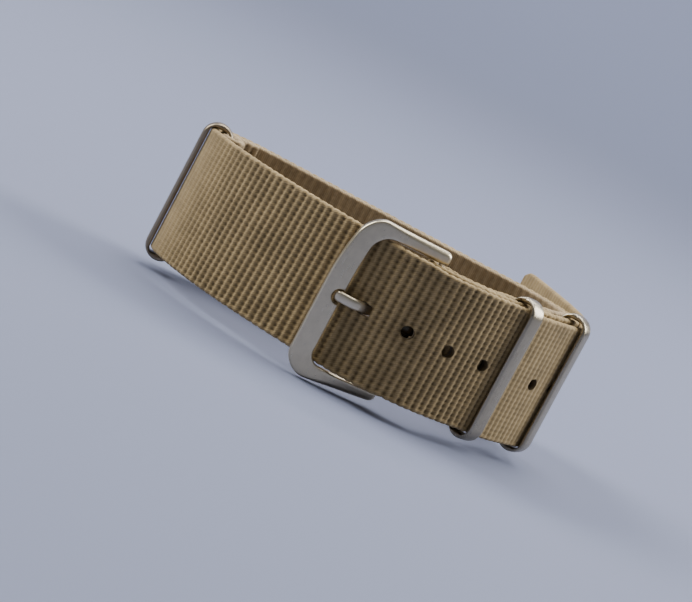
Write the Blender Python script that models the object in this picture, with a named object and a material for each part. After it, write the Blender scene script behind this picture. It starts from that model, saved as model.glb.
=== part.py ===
# A buckled watch strap of ribbed nylon webbing with a pin buckle and three keeper rings.
#
# The strap stands on its lower edge. +Z runs across the webbing, the buckle faces -Y, and +X is
# the viewer's right when they look at the buckle. All lengths are metres. The plan of the strap is
# a chain of poses; each layer of webbing is cut flat, pierced flat, and then bent along its plan.
import bisect
import math

import bmesh
import bpy
from mathutils import Matrix, Vector

for old in list(bpy.data.objects):
    bpy.data.objects.remove(old, do_unlink=True)

# Webbing
WEBBING_WIDTH = 0.0200
TAIL_NARROWING = 0.0004
WEBBING_THICKNESS = 0.0011
SELVEDGE_CHAMFER = 0.00025
TAIL_CORNER = 0.0026
LAYER_GAP = 0.00028
TAIL_GAP = 0.00035
TAPER_LENGTH = 0.0050

# Holes of the tail
HOLE_PITCH = 0.00635
HOLE_DIAMETER = 0.00180
HOLE_COUNT = 8
HOLE_SIDES = 16
WORN_HOLE_LENGTH = 0.00225
WORN_HOLE_HEIGHT = 0.00186
WORN_HOLE_CORNER = 0.00045
WORN_HOLE_SHIFT = 0.00030

# Plan of the loop, as its outer face shows it
LOOP_WIDTH = 0.0600
LOOP_DEPTH = 0.0320
FREE_END_REACH = 0.0535

# Spring bar
BARREL_DIAMETER = 0.00150
BARREL_WALL = 0.00025
BARREL_GAP = 0.0018
TIP_COLLAR_DIAMETER = 0.00135
TIP_COLLAR_LENGTH = 0.00035
TIP_PIN_DIAMETER = 0.00080
TIP_SHANK_LENGTH = 0.0032
TIP_TRAVEL = 0.00090
TIP_ENTRY = 0.00080
TIP_CHAMFER = 0.00012
RUNNING_CLEARANCE = 0.00006
SPRING_WIRE = 0.00016
SPRING_TURNS = 14
SPRING_CLEARANCE = 0.00008
FOLD_CLEARANCE = 0.00008

# Buckle frame
BAR_X = 0.0093
BAR_Y = 0.0012
FRAME_LENGTH = 0.01241
FRAME_SLOPE = math.radians(18.8)
FRAME_BEND = math.radians(18.0)
FRAME_THICKNESS = 0.0016
FRAME_TIP_RADIUS = 0.00100
FAR_BAR_WIDTH = 0.0031
ARM_HEIGHT = 0.00235
ARM_TIP_HEIGHT = 0.00150
STRAP_CLEARANCE = 0.00030
STRAP_TIP_CLEARANCE = 0.00040
BAR_CLEARANCE = 0.00027
FRAME_CORNER = 0.0034
WINDOW_CORNER = 0.0021
FRAME_EDGE = 0.00035
FRAME_DROP = 0.00010
NOTCH_DEPTH = 0.00145
NOTCH_HEIGHT = 0.0022
NOTCH_CORNER = 0.0009

# Tongue
TONGUE_WIDTH = 0.0016
TONGUE_THICKNESS = 0.0008
TONGUE_EDGE = 0.00018
TONGUE_TIP_CORNER = 0.00060
TONGUE_CLEARANCE = 0.00008
TONGUE_WRAP = math.radians(265.0)
SLOT_HEIGHT = 0.0022
SLOT_LEG = 0.0022
SLOT_CORNER = 0.0005

# Keeper rings
RING_STRAP_CLEARANCE = 0.00030
RING_THICKNESS = 0.0009
RING_STRIP = 0.0027
RING_CORNER = 0.0024
RING_INNER_CORNER = 0.0006
RING_EDGE = 0.00030
RING_CLEARANCE = 0.00025
POCKET_CLEARANCE = 0.00020
FOLD_POCKET_CLEARANCE = 0.00042
POCKET_RAMP = 0.0030
RING_TRAVEL = 0.00080
FRONT_RING_SETBACK = 0.00065
SIDE_RING_ADVANCE = 0.00050

# Seams
THREAD = 0.00020
THREAD_HOLE = 0.00036
THREAD_CLEARANCE = 0.00004
STITCH_COUNT = 14
SEAM_MARGIN = 0.0022
LAP_LENGTH = 0.0040
TACK_FROM_BAR = 0.0050
TACK_BESIDE_RING = 0.0064
FLAP_BEYOND_TACK = 0.0045

# Fineness and overruns
PATH_STEP = 0.00020
LONGEST_STEP = 0.0030
LARGEST_TURN = math.radians(5.0)
CUT_OVERRUN = 0.0010
MERGE_DISTANCE = 0.000002
ROUND_SIDES = 20
CORNER_SEGMENTS = 4
FRAME_CREASES = 6
FRAME_ROUND_SHARE = 0.42
NOTCH_STEPS = 6
SPRING_POINTS = 12

WINDOW_HEIGHT = WEBBING_WIDTH + 2 * STRAP_CLEARANCE
WINDOW_TIP_HEIGHT = WEBBING_WIDTH + 2 * STRAP_TIP_CLEARANCE
FRAME_HEIGHT = WINDOW_HEIGHT + 2 * ARM_HEIGHT
FRAME_TIP_HEIGHT = WINDOW_TIP_HEIGHT + 2 * ARM_TIP_HEIGHT
BARREL_LENGTH = WINDOW_TIP_HEIGHT - 2 * BARREL_GAP
RING_HEIGHT = WEBBING_WIDTH + 2 * (RING_STRAP_CLEARANCE + RING_THICKNESS)
STITCH_PITCH = (WEBBING_WIDTH - 2 * SEAM_MARGIN) / (STITCH_COUNT - 1)
HALF_WEB = WEBBING_THICKNESS / 2
LAYER_STEP = WEBBING_THICKNESS + LAYER_GAP
TAIL_STEP = WEBBING_THICKNESS + TAIL_GAP
MIDDLE = WEBBING_WIDTH / 2
BARREL_RADIUS = BARREL_DIAMETER / 2
FOLD_RADIUS = BARREL_RADIUS + FOLD_CLEARANCE + HALF_WEB
RING_ROOM = 2 * WEBBING_THICKNESS + TAIL_GAP + 2 * RING_CLEARANCE
RING_INNER_FACE = HALF_WEB + RING_CLEARANCE
POCKET_STEP = RING_INNER_FACE + RING_THICKNESS + POCKET_CLEARANCE + HALF_WEB
BAR_CENTRE = Vector((BAR_X, BAR_Y))

# Poses of the outer face near the buckle: x and y from the spring bar as shares of the frame's
# length, and heading in degrees. The first lies left of the far bar, the rest right of it.
BESIDE_BAR_SHARES = (-1.1733, -0.0967, 336.0)
UNDER_BAR_HEADING = -21.0
OVER_BAR_SHARES = [
    (-0.6728, -0.2772, -19.0),
    (-0.4110, -0.3546, -10.5),
    (-0.0564, -0.3787, 2.0),
]
# The other poses: x share of the loop's width, y share of its depth, and heading.
LEGS_MEET_SHARES = (0.3333, 0.0641, 43.5)
FRONT_KEEPER_SHARES = (0.4100, 0.2156, 50.0)
SIDE_KEEPER_SHARES = (0.5317, 0.5719, 66.0)
LEFT_KEEPER_SHARES = (-0.4855, 0.7200, 275.5)
# The tail runs on from over the spring bar through the two right-hand keepers.
TAIL_SHARES = [
    (0.2400, -0.0625, 29.0),
    LEGS_MEET_SHARES,
    FRONT_KEEPER_SHARES,
    (0.4800, 0.3969, 58.0),
    SIDE_KEEPER_SHARES,
    (0.5492, 0.7063, 91.0),
    (0.5317, 0.8531, 108.0),
]
# The free end is nearly straight: x share of the loop's width and heading at its tip.
FREE_TIP_SHARE = 0.390
FREE_TIP_HEADING = 112.0
# The loop runs from the back to the buckle by the left-hand keeper.
LOOP_SHARES = [
    (-0.3400, 1.0000, 180.0),
    LEFT_KEEPER_SHARES,
    (-0.4347, 0.5081, 304.6),
    (-0.2432, 0.1638, 326.9),
]
# The right end of the flat back, as a share of the loop's width.
BACK_RIGHT_SHARE = 0.3400
LEG_HEADING = math.radians(-4.0)
LEG_EXIT = 0.0018
# Poses of the tongue's middle line, as shares of the frame's length from the spring bar, and headings.
TONGUE_SHARES = [
    (-0.5157, -0.3062, 222.0),
    (-0.6769, -0.3948, 188.0),
    (-0.8880, -0.3545, 155.0),
]


class Route:
    """A plan curve as closely spaced points, read by its length."""

    def __init__(self, points):
        self.points = [points[0]]
        for point in points[1:]:
            if (point - self.points[-1]).length > MERGE_DISTANCE:
                self.points.append(point)
        self.marks = [0.0]
        for a, b in zip(self.points, self.points[1:]):
            self.marks.append(self.marks[-1] + (b - a).length)
        self.length = self.marks[-1]
        self.turns = []
        last = len(self.points) - 1
        for i in range(len(self.points)):
            tangent = self.points[min(i + 1, last)] - self.points[max(i - 1, 0)]
            self.turns.append(tangent.normalized())

    def frame(self, s):
        """The point, the direction and the inward normal at the length s."""
        s = min(max(s, 0.0), self.length)
        i = min(max(bisect.bisect_right(self.marks, s) - 1, 0), len(self.points) - 2)
        share = (s - self.marks[i]) / (self.marks[i + 1] - self.marks[i])
        point = self.points[i].lerp(self.points[i + 1], share)
        tangent = self.turns[i].lerp(self.turns[i + 1], share).normalized()
        return point, tangent, Vector((-tangent.y, tangent.x))

    def nearest(self, target):
        """The length at which the route passes nearest to a point."""
        near = min(range(len(self.points)), key=lambda i: (self.points[i] - target).length)
        point, tangent, normal = self.frame(self.marks[near])
        return self.marks[near] + (target - point).dot(tangent)

    def beside(self, start, end, distance):
        """The points at a distance to the inner side, which may be a function of the length."""
        count = max(2, math.ceil((end - start) / PATH_STEP))
        out = []
        for i in range(count + 1):
            s = start + (end - start) * i / count
            point, tangent, normal = self.frame(s)
            out.append(point + normal * (distance(s) if callable(distance) else distance))
        return out

    def stops(self):
        """The lengths at which the webbing is creased into flat facets."""
        out = [0.0]
        heading = math.atan2(self.turns[0].y, self.turns[0].x)
        for mark, turn in zip(self.marks, self.turns):
            now = math.atan2(turn.y, turn.x)
            change = abs(math.remainder(now - heading, math.tau))
            if change > LARGEST_TURN or mark - out[-1] > LONGEST_STEP:
                out.append(mark)
                heading = now
        return out[1:]


def pose(x, y, degrees):
    """A point and a unit heading."""
    angle = math.radians(degrees)
    return Vector((x, y)), Vector((math.cos(angle), math.sin(angle)))


def inset(place, distance):
    """A pose moved to its inner side."""
    point, heading = place
    return point + Vector((-heading.y, heading.x)) * distance, heading


def span(start, end):
    """Points of a smooth curve between two poses, nearly an arc where an arc fits."""
    (a, out), (b, into) = start, end
    chord = (b - a).length
    turn = abs(math.acos(max(-1.0, min(1.0, out.dot(into)))))
    share = 1 / 3
    if turn > LARGEST_TURN:
        share = (4 / 3) * math.tan(turn / 4) / (2 * math.sin(turn / 2))
    reach = chord * share
    p, q = a + out * reach, b - into * reach
    count = max(4, math.ceil(chord / PATH_STEP))
    points = []
    for i in range(count + 1):
        t = i / count
        u = 1 - t
        points.append(a * u ** 3 + p * (3 * u * u * t) + q * (3 * u * t * t) + b * t ** 3)
    return points


def chain(places):
    """Points of the smooth curve through a list of poses."""
    points = []
    for start, end in zip(places, places[1:]):
        points += span(start, end)
    return points


def half_turn(centre, first, radius):
    """Points of a half circle that starts at centre + first * radius and goes anticlockwise."""
    count = max(8, math.ceil(math.pi * radius / PATH_STEP))
    points = []
    for i in range(count + 1):
        angle = math.pi * i / count
        c, s = math.cos(angle), math.sin(angle)
        points.append(centre + Vector((first.x * c - first.y * s, first.x * s + first.y * c)) * radius)
    return points


def step_between(low, high, start, end):
    """A smooth step of the layer's depth from low to high between two lengths."""
    def depth(s):
        t = min(max((s - start) / (end - start), 0.0), 1.0)
        return low + (high - low) * t * t * (3 - 2 * t)
    return depth


# Materials and small builders

def material(name, colour, roughness, metallic):
    """A Principled material."""
    made = bpy.data.materials.new(name)
    made.use_nodes = True
    shader = made.node_tree.nodes["Principled BSDF"]
    shader.inputs["Base Color"].default_value = (*colour, 1.0)
    shader.inputs["Roughness"].default_value = roughness
    shader.inputs["Metallic"].default_value = metallic
    return made


NYLON = material("tan_nylon", (0.26, 0.20, 0.12), 0.85, 0.0)
LINING = material("inner_nylon", (0.22, 0.17, 0.10), 0.88, 0.0)
STEEL = material("brushed_steel", (0.52, 0.51, 0.48), 0.34, 1.0)
PIN_STEEL = material("pin_steel", (0.60, 0.60, 0.58), 0.25, 1.0)
SPRING_STEEL = material("spring_steel", (0.40, 0.40, 0.41), 0.35, 1.0)
THREAD_NYLON = material("thread", (0.20, 0.155, 0.09), 0.80, 0.0)

seat = bpy.data.objects.new("strap_seat", None)
bpy.context.collection.objects.link(seat)


def add_object(name, bm, finish, origin=None, smooth=True):
    """Links a bmesh as an object on the seat, with its origin on its joint's axis."""
    bmesh.ops.recalc_face_normals(bm, faces=bm.faces)
    if bm.calc_volume(signed=True) < 0.0:
        bmesh.ops.reverse_faces(bm, faces=bm.faces)
    home = Vector(origin) if origin else Vector((0.0, 0.0, 0.0))
    bmesh.ops.translate(bm, verts=bm.verts, vec=-home)
    mesh = bpy.data.meshes.new(name)
    bm.to_mesh(mesh)
    bm.free()
    mesh.materials.append(finish)
    if smooth:
        mesh.shade_smooth()
        mesh.set_sharp_from_angle(angle=math.radians(35.0))
    made = bpy.data.objects.new(name, mesh)
    bpy.context.collection.objects.link(made)
    made.parent = seat
    made.location = home
    return made


def cut_by(bm, cutters, union=False):
    """The bmesh after an exact Boolean with a bmesh of cutters."""
    parts = []
    for name, source in (("blank", bm), ("cutter", cutters)):
        bmesh.ops.recalc_face_normals(source, faces=source.faces)
        mesh = bpy.data.meshes.new(name)
        source.to_mesh(mesh)
        source.free()
        made = bpy.data.objects.new(name, mesh)
        bpy.context.collection.objects.link(made)
        parts.append(made)
    blank, cutter = parts
    cutter.hide_render = True
    cutter.display_type = 'WIRE'
    step = blank.modifiers.new("cut", 'BOOLEAN')
    step.operation = 'UNION' if union else 'DIFFERENCE'
    step.object = cutter
    step.solver = 'EXACT'
    graph = bpy.context.evaluated_depsgraph_get()
    result = bmesh.new()
    mesh = bpy.data.meshes.new_from_object(blank.evaluated_get(graph))
    result.from_mesh(mesh)
    for made in parts:
        bpy.data.objects.remove(made, do_unlink=True)
    bmesh.ops.remove_doubles(result, verts=result.verts, dist=MERGE_DISTANCE)
    return result


def prism(bm, outline, low, high, matrix=None):
    """Adds an outline in the XY plane, extruded from low to high along Z."""
    face = bm.faces.new([bm.verts.new((x, y, low)) for x, y in outline])
    top = bmesh.ops.extrude_face_region(bm, geom=[face])
    risen = [v for v in top["geom"] if isinstance(v, bmesh.types.BMVert)]
    bmesh.ops.translate(bm, verts=risen, vec=(0.0, 0.0, high - low))
    if matrix:
        bmesh.ops.transform(bm, verts=list(face.verts) + risen, matrix=matrix)
    return list(face.verts) + risen


def rounded_rectangle(length, height, corner, segments=CORNER_SEGMENTS):
    """An outline about the origin with round corners."""
    points = []
    for quarter, (sx, sy) in enumerate(((1, 1), (-1, 1), (-1, -1), (1, -1))):
        cx, cy = sx * (length / 2 - corner), sy * (height / 2 - corner)
        for i in range(segments + 1):
            angle = (quarter + i / segments) * math.pi / 2
            points.append((cx + corner * math.cos(angle), cy + corner * math.sin(angle)))
    return points


def circle(radius, sides):
    """A round outline about the origin."""
    return [(radius * math.cos(math.tau * i / sides), radius * math.sin(math.tau * i / sides))
            for i in range(sides)]


def turned(profile, centre, closed):
    """A bmesh turned about a Z axis from (radius, z) points; closed profiles make tubes."""
    bm = bmesh.new()
    verts = [bm.verts.new((centre.x + r, centre.y, z)) for r, z in profile]
    edges = [bm.edges.new(pair) for pair in zip(verts, verts[1:])]
    if closed:
        edges.append(bm.edges.new((verts[-1], verts[0])))
    bmesh.ops.spin(bm, geom=verts + edges, cent=(centre.x, centre.y, 0.0), axis=(0.0, 0.0, 1.0),
                   angle=math.tau, steps=ROUND_SIDES, use_merge=True)
    bmesh.ops.remove_doubles(bm, verts=bm.verts, dist=MERGE_DISTANCE)
    return bm


# Webbing cut flat and bent

def flat_strip(length, thickness, width, chamfer, corner_start, corner_end):
    """A flat strip along X with its thickness in Y and its width in Z, its edges chamfered."""
    bm = bmesh.new()
    bmesh.ops.create_cube(bm, size=1.0)
    bmesh.ops.scale(bm, vec=(length, thickness, width), verts=bm.verts)
    bmesh.ops.translate(bm, vec=(length / 2, 0.0, 0.0), verts=bm.verts)
    for radius, x in ((corner_start, 0.0), (corner_end, length)):
        if radius:
            ends = [e for e in bm.edges if all(abs(v.co.x - x) < MERGE_DISTANCE for v in e.verts)
                    and abs(e.verts[0].co.z - e.verts[1].co.z) < MERGE_DISTANCE]
            bmesh.ops.bevel(bm, geom=ends, offset=radius, segments=CORNER_SEGMENTS, profile=0.5,
                            affect='EDGES', material=-1)
    sides = [e for e in bm.edges if abs(e.verts[0].co.y - e.verts[1].co.y) < MERGE_DISTANCE]
    bmesh.ops.bevel(bm, geom=sides, offset=chamfer, segments=1, profile=0.5, affect='EDGES', material=-1)
    return bm


def bend(bm, route, height, width_at=None):
    """Creases a flat strip across its length and lays it along a route at a height."""
    for stop in route.stops():
        geometry = list(bm.verts) + list(bm.edges) + list(bm.faces)
        bmesh.ops.bisect_plane(bm, geom=geometry, dist=MERGE_DISTANCE / 4, plane_co=(stop, 0.0, 0.0),
                               plane_no=(1.0, 0.0, 0.0))
    bmesh.ops.triangulate(bm, faces=bm.faces)
    for vert in bm.verts:
        s, depth, z = vert.co
        point, tangent, normal = route.frame(s)
        beyond = s - min(max(s, 0.0), route.length)
        place = point + normal * depth + tangent * beyond
        wide = width_at(s) if width_at else 1.0
        vert.co = (place.x, place.y, height + z * wide)
    return bm


def web_hole(cutters, s, outline, slant=0.0):
    """Adds a cutter through a flat strip at the length s, slanted along the strip."""
    long = WEBBING_THICKNESS / 2 + CUT_OVERRUN
    turn = Matrix.Rotation(slant, 4, 'Z') @ Matrix.Rotation(math.radians(90.0), 4, 'X')
    prism(cutters, outline, -long, long, Matrix.Translation((s, 0.0, 0.0)) @ turn)


def stitch_places():
    """The heights of a seam's needle holes, about the webbing's middle."""
    first = -(STITCH_COUNT - 1) / 2
    return [(first + i) * STITCH_PITCH for i in range(STITCH_COUNT)]


def thread_holes(cutters, s):
    """Adds the needle holes of one seam at the length s."""
    for z in stitch_places():
        web_hole(cutters, s, [(x, y + z) for x, y in square(THREAD_HOLE / 2)])


def square(half):
    """A square outline about the origin."""
    return [(-half, -half), (half, -half), (half, half), (-half, half)]


def seam(name, base, s, outer, inner):
    """The thread of one seam, a running stitch through the layers between two depths."""
    point, tangent, normal = base.frame(s)
    half = THREAD / 2
    low = outer - THREAD_CLEARANCE - half
    high = inner + THREAD_CLEARANCE + half
    places = stitch_places()
    line = [Vector((low, places[0] - STITCH_PITCH / 2))]
    for i, z in enumerate(places):
        sides = (low, high) if i % 2 == 0 else (high, low)
        line += [Vector((side, z)) for side in sides]
    line.append(Vector((line[-1].x, places[-1] + STITCH_PITCH / 2)))
    ways = [(b - a).normalized() for a, b in zip(line, line[1:])]
    bm = bmesh.new()
    rows = []
    for i, at in enumerate(line):
        before, after = ways[max(i - 1, 0)], ways[min(i, len(ways) - 1)]
        across = Vector((-before.y, before.x))
        if i not in (0, len(line) - 1):
            across += Vector((-after.y, after.x))
        row = []
        for sign, along in ((-1, -half), (1, -half), (1, half), (-1, half)):
            flat = at + across * half * sign
            place = point + tangent * along + normal * flat.x
            row.append(bm.verts.new((place.x, place.y, MIDDLE + flat.y)))
        rows.append(row)
    for a, b in zip(rows, rows[1:]):
        for i in range(4):
            j = (i + 1) % 4
            bm.faces.new((a[i], a[j], b[j], b[i]))
    bm.faces.new(rows[0])
    bm.faces.new(rows[-1])
    return add_object(name, bm, THREAD_NYLON, smooth=False)


# Plan of every layer, worked out from the outer face inward

def frame_place(u, w):
    """The plan point of the frame at u along it from the spring bar and w in front of its middle."""
    start = math.pi + FRAME_SLOPE + FRAME_BEND / 2
    radius = FRAME_LENGTH / FRAME_BEND
    angle = start - u / radius
    # The frame's middle line is an arc whose centre lies behind it.
    centre = BAR_CENTRE + Vector((math.sin(start), -math.cos(start))) * radius
    out = Vector((-math.sin(angle), math.cos(angle)))
    return centre + out * (radius + w)


def near_bar(shares):
    """A pose of the middle of the webbing from shares of the frame's length."""
    x, y, degrees = shares
    return inset(pose(BAR_X + x * FRAME_LENGTH, BAR_Y + y * FRAME_LENGTH, degrees), HALF_WEB)


def loop_place(shares):
    """A pose of the middle of the webbing from shares of the loop's width and depth."""
    x, y, degrees = shares
    return inset(pose(x * LOOP_WIDTH, y * LOOP_DEPTH, degrees), HALF_WEB)


far_corner = frame_place(FRAME_LENGTH - FAR_BAR_WIDTH / 2, -FRAME_THICKNESS / 2)
under_bar = inset(pose(far_corner.x, far_corner.y, UNDER_BAR_HEADING), BAR_CLEARANCE + HALF_WEB)
over_bar = [near_bar(shares) for shares in OVER_BAR_SHARES]
keeper_places = [loop_place(shares) for shares in TAIL_SHARES]
tail_places = [under_bar] + over_bar + keeper_places
free_tip = inset(pose(FREE_TIP_SHARE * LOOP_WIDTH, FREE_END_REACH, FREE_TIP_HEADING), HALF_WEB)
tail = Route(chain(tail_places + [free_tip]))
front_at = tail.nearest(loop_place(FRONT_KEEPER_SHARES)[0]) - FRONT_RING_SETBACK
side_at = tail.nearest(loop_place(SIDE_KEEPER_SHARES)[0]) + SIDE_RING_ADVANCE

# The outer leg leaves the spring bar, meets the tail's inner side and follows it past the side keeper.
leg_heading = Vector((math.cos(LEG_HEADING), math.sin(LEG_HEADING)))
leg_inward = Vector((-leg_heading.y, leg_heading.x))
leg_start = BAR_CENTRE - leg_inward * FOLD_RADIUS
join_at = tail.nearest(loop_place(LEGS_MEET_SHARES)[0])
exit_at = side_at + LEG_EXIT
follow = tail.beside(join_at, exit_at, TAIL_STEP)
join_pose = (follow[0], tail.frame(join_at)[1])
exit_pose = (follow[-1], tail.frame(exit_at)[1])
back_left = loop_place(LOOP_SHARES[0])
back_right = (Vector((BACK_RIGHT_SHARE * LOOP_WIDTH, back_left[0].y)), back_left[1])
left_places = [loop_place(shares) for shares in LOOP_SHARES]
loop = Route(span((leg_start, leg_heading), join_pose) + follow + span(exit_pose, back_right)
             + chain([back_right] + left_places + [near_bar(BESIDE_BAR_SHARES), under_bar]))
front_on_loop = loop.nearest(tail.frame(front_at)[0] + tail.frame(front_at)[2] * TAIL_STEP)
side_on_loop = loop.nearest(tail.frame(side_at)[0] + tail.frame(side_at)[2] * TAIL_STEP)
left_on_loop = loop.nearest(loop_place(LEFT_KEEPER_SHARES)[0])
pocket = RING_STRIP / 2 + RING_TRAVEL + POCKET_CLEARANCE
seam_buckle = TACK_FROM_BAR
seam_middle = (front_on_loop + side_on_loop) / 2
seam_side = side_on_loop + TACK_BESIDE_RING
seam_left = left_on_loop - TACK_BESIDE_RING

# The return leg is the folded end of the main strap, inside the front keeper's inner bar.
from_bar = step_between(2 * FOLD_RADIUS, LAYER_STEP, 0.0, seam_buckle - THREAD_HOLE)
into_front = step_between(0.0, POCKET_STEP - LAYER_STEP, front_on_loop - pocket - POCKET_RAMP,
                          front_on_loop - pocket)
out_of_front = step_between(0.0, POCKET_STEP - LAYER_STEP, front_on_loop + pocket,
                            front_on_loop + pocket + POCKET_RAMP)
return_end = seam_middle + LAP_LENGTH / 2


def return_depth(s):
    return from_bar(s) + into_front(s) - out_of_front(s)


# The short strap starts inside the return leg, holds the side keeper and runs round to the left keeper.
short_start = seam_middle - LAP_LENGTH / 2
past_return = step_between(2 * LAYER_STEP, POCKET_STEP, return_end, side_on_loop - pocket)
out_of_side = step_between(0.0, POCKET_STEP - LAYER_STEP, side_on_loop + pocket,
                           side_on_loop + pocket + POCKET_RAMP)


def short_depth(s):
    return past_return(s) - out_of_side(s)


left_fold_radius = RING_THICKNESS / 2 + FOLD_POCKET_CLEARANCE + HALF_WEB
left_fold_at = left_on_loop + RING_STRIP / 2 - RING_THICKNESS / 2 + POCKET_CLEARANCE
flap_depth_at_ring = LAYER_STEP + 2 * left_fold_radius
flap_settled = left_on_loop - RING_STRIP / 2 - POCKET_CLEARANCE
flap_step = step_between(2 * LAYER_STEP, flap_depth_at_ring, flap_settled - POCKET_RAMP, flap_settled)
flap_end = seam_left - FLAP_BEYOND_TACK

return_line = loop.beside(0.0, return_end, return_depth)
fold_line = half_turn(BAR_CENTRE, leg_inward, FOLD_RADIUS)
main = Route(list(reversed(return_line)) + fold_line + loop.points + tail.points)
short_line = loop.beside(short_start, left_fold_at, short_depth)
fold_point, fold_tangent, fold_normal = loop.frame(left_fold_at)
fold_centre = fold_point + fold_normal * (LAYER_STEP + left_fold_radius)
flap_line = loop.beside(flap_end, left_fold_at, flap_step)
short = Route(short_line + half_turn(fold_centre, -fold_normal, left_fold_radius)
              + list(reversed(flap_line)))
leg_on_main = main.nearest(leg_start)
tail_on_main = main.length - tail.length


def loop_point(s, depth):
    """The point at a depth inside the loop's line."""
    point, tangent, normal = loop.frame(s)
    return point + normal * depth


# The tongue's middle line wraps the spring bar and then runs to its tip.
def tongue_route():
    radius = BARREL_RADIUS + TONGUE_CLEARANCE + TONGUE_THICKNESS / 2
    count = max(8, math.ceil(TONGUE_WRAP * radius / PATH_STEP))
    wrap = []
    for i in range(count + 1):
        angle = math.radians(-90.0) + TONGUE_WRAP * (1 - i / count)
        wrap.append(BAR_CENTRE + Vector((math.cos(angle), math.sin(angle))) * radius)
    places = [(wrap[-1], Vector((-1.0, 0.0)))]
    for x, y, degrees in TONGUE_SHARES:
        places.append(pose(BAR_X + x * FRAME_LENGTH, BAR_Y + y * FRAME_LENGTH, degrees))
    return Route(wrap + chain(places))


tongue_line = tongue_route()
tongue_radius = (tongue_line.points[-1] - BAR_CENTRE).length


# Pieces

def make_main_strap():
    """The long webbing: return leg, fold with its slot, loop, holed tail and rounded free end."""
    bm = flat_strip(main.length, WEBBING_THICKNESS, WEBBING_WIDTH, SELVEDGE_CHAMFER, 0.0, TAIL_CORNER)
    cutters = bmesh.new()
    fold_length = math.pi * FOLD_RADIUS
    slot = rounded_rectangle(fold_length + 2 * SLOT_LEG, SLOT_HEIGHT, SLOT_CORNER)
    web_hole(cutters, leg_on_main - fold_length / 2, slot)
    crossing, direction = pose(BAR_X + TONGUE_SHARES[0][0] * FRAME_LENGTH,
                               BAR_Y + TONGUE_SHARES[0][1] * FRAME_LENGTH, TONGUE_SHARES[0][2])
    first_on_tail = tail.nearest(crossing)
    point, tangent, normal = tail.frame(first_on_tail)
    slant = math.atan2(direction.dot(tangent), -direction.dot(normal))
    worn = rounded_rectangle(WORN_HOLE_LENGTH, WORN_HOLE_HEIGHT, WORN_HOLE_CORNER)
    offset = (crossing - point).dot(normal) * math.tan(slant) + WORN_HOLE_SHIFT
    first = tail_on_main + first_on_tail + offset
    web_hole(cutters, first, worn, slant)
    for i in range(1, HOLE_COUNT):
        web_hole(cutters, first + i * HOLE_PITCH, circle(HOLE_DIAMETER / 2, HOLE_SIDES))
    for s, depth in ((seam_buckle, return_depth), (seam_middle, return_depth)):
        thread_holes(cutters, leg_on_main + s)
        thread_holes(cutters, main.nearest(loop_point(s, depth(s))))
    thread_holes(cutters, leg_on_main + seam_side)
    narrowing = step_between(1.0, 1.0 - TAIL_NARROWING / WEBBING_WIDTH, tail_on_main - TAPER_LENGTH, tail_on_main)
    return add_object("main_strap", bend(cut_by(bm, cutters), main, MIDDLE, narrowing), NYLON)


def make_short_strap():
    """The inner webbing, from its lap in the seam to the flap round the left keeper."""
    bm = flat_strip(short.length, WEBBING_THICKNESS, WEBBING_WIDTH, SELVEDGE_CHAMFER, 0.0, 0.0)
    cutters = bmesh.new()
    for s, depth in ((seam_middle, short_depth), (seam_side, short_depth), (seam_left, short_depth),
                     (seam_left, flap_step)):
        thread_holes(cutters, short.nearest(loop_point(s, depth(s))))
    return add_object("short_strap", bend(cut_by(bm, cutters), short, MIDDLE), LINING)


def make_seams():
    """The four rows of thread that join the layers."""
    outer = -HALF_WEB
    seam("tack_buckle", loop, seam_buckle, outer, return_depth(seam_buckle) + HALF_WEB)
    seam("tack_middle", loop, seam_middle, outer, short_depth(seam_middle) + HALF_WEB)
    seam("tack_side", loop, seam_side, outer, short_depth(seam_side) + HALF_WEB)
    seam("tack_left", loop, seam_left, short_depth(seam_left) - HALF_WEB, flap_step(seam_left) + HALF_WEB)


FRAME_MIDDLE = MIDDLE - FRAME_DROP


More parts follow.
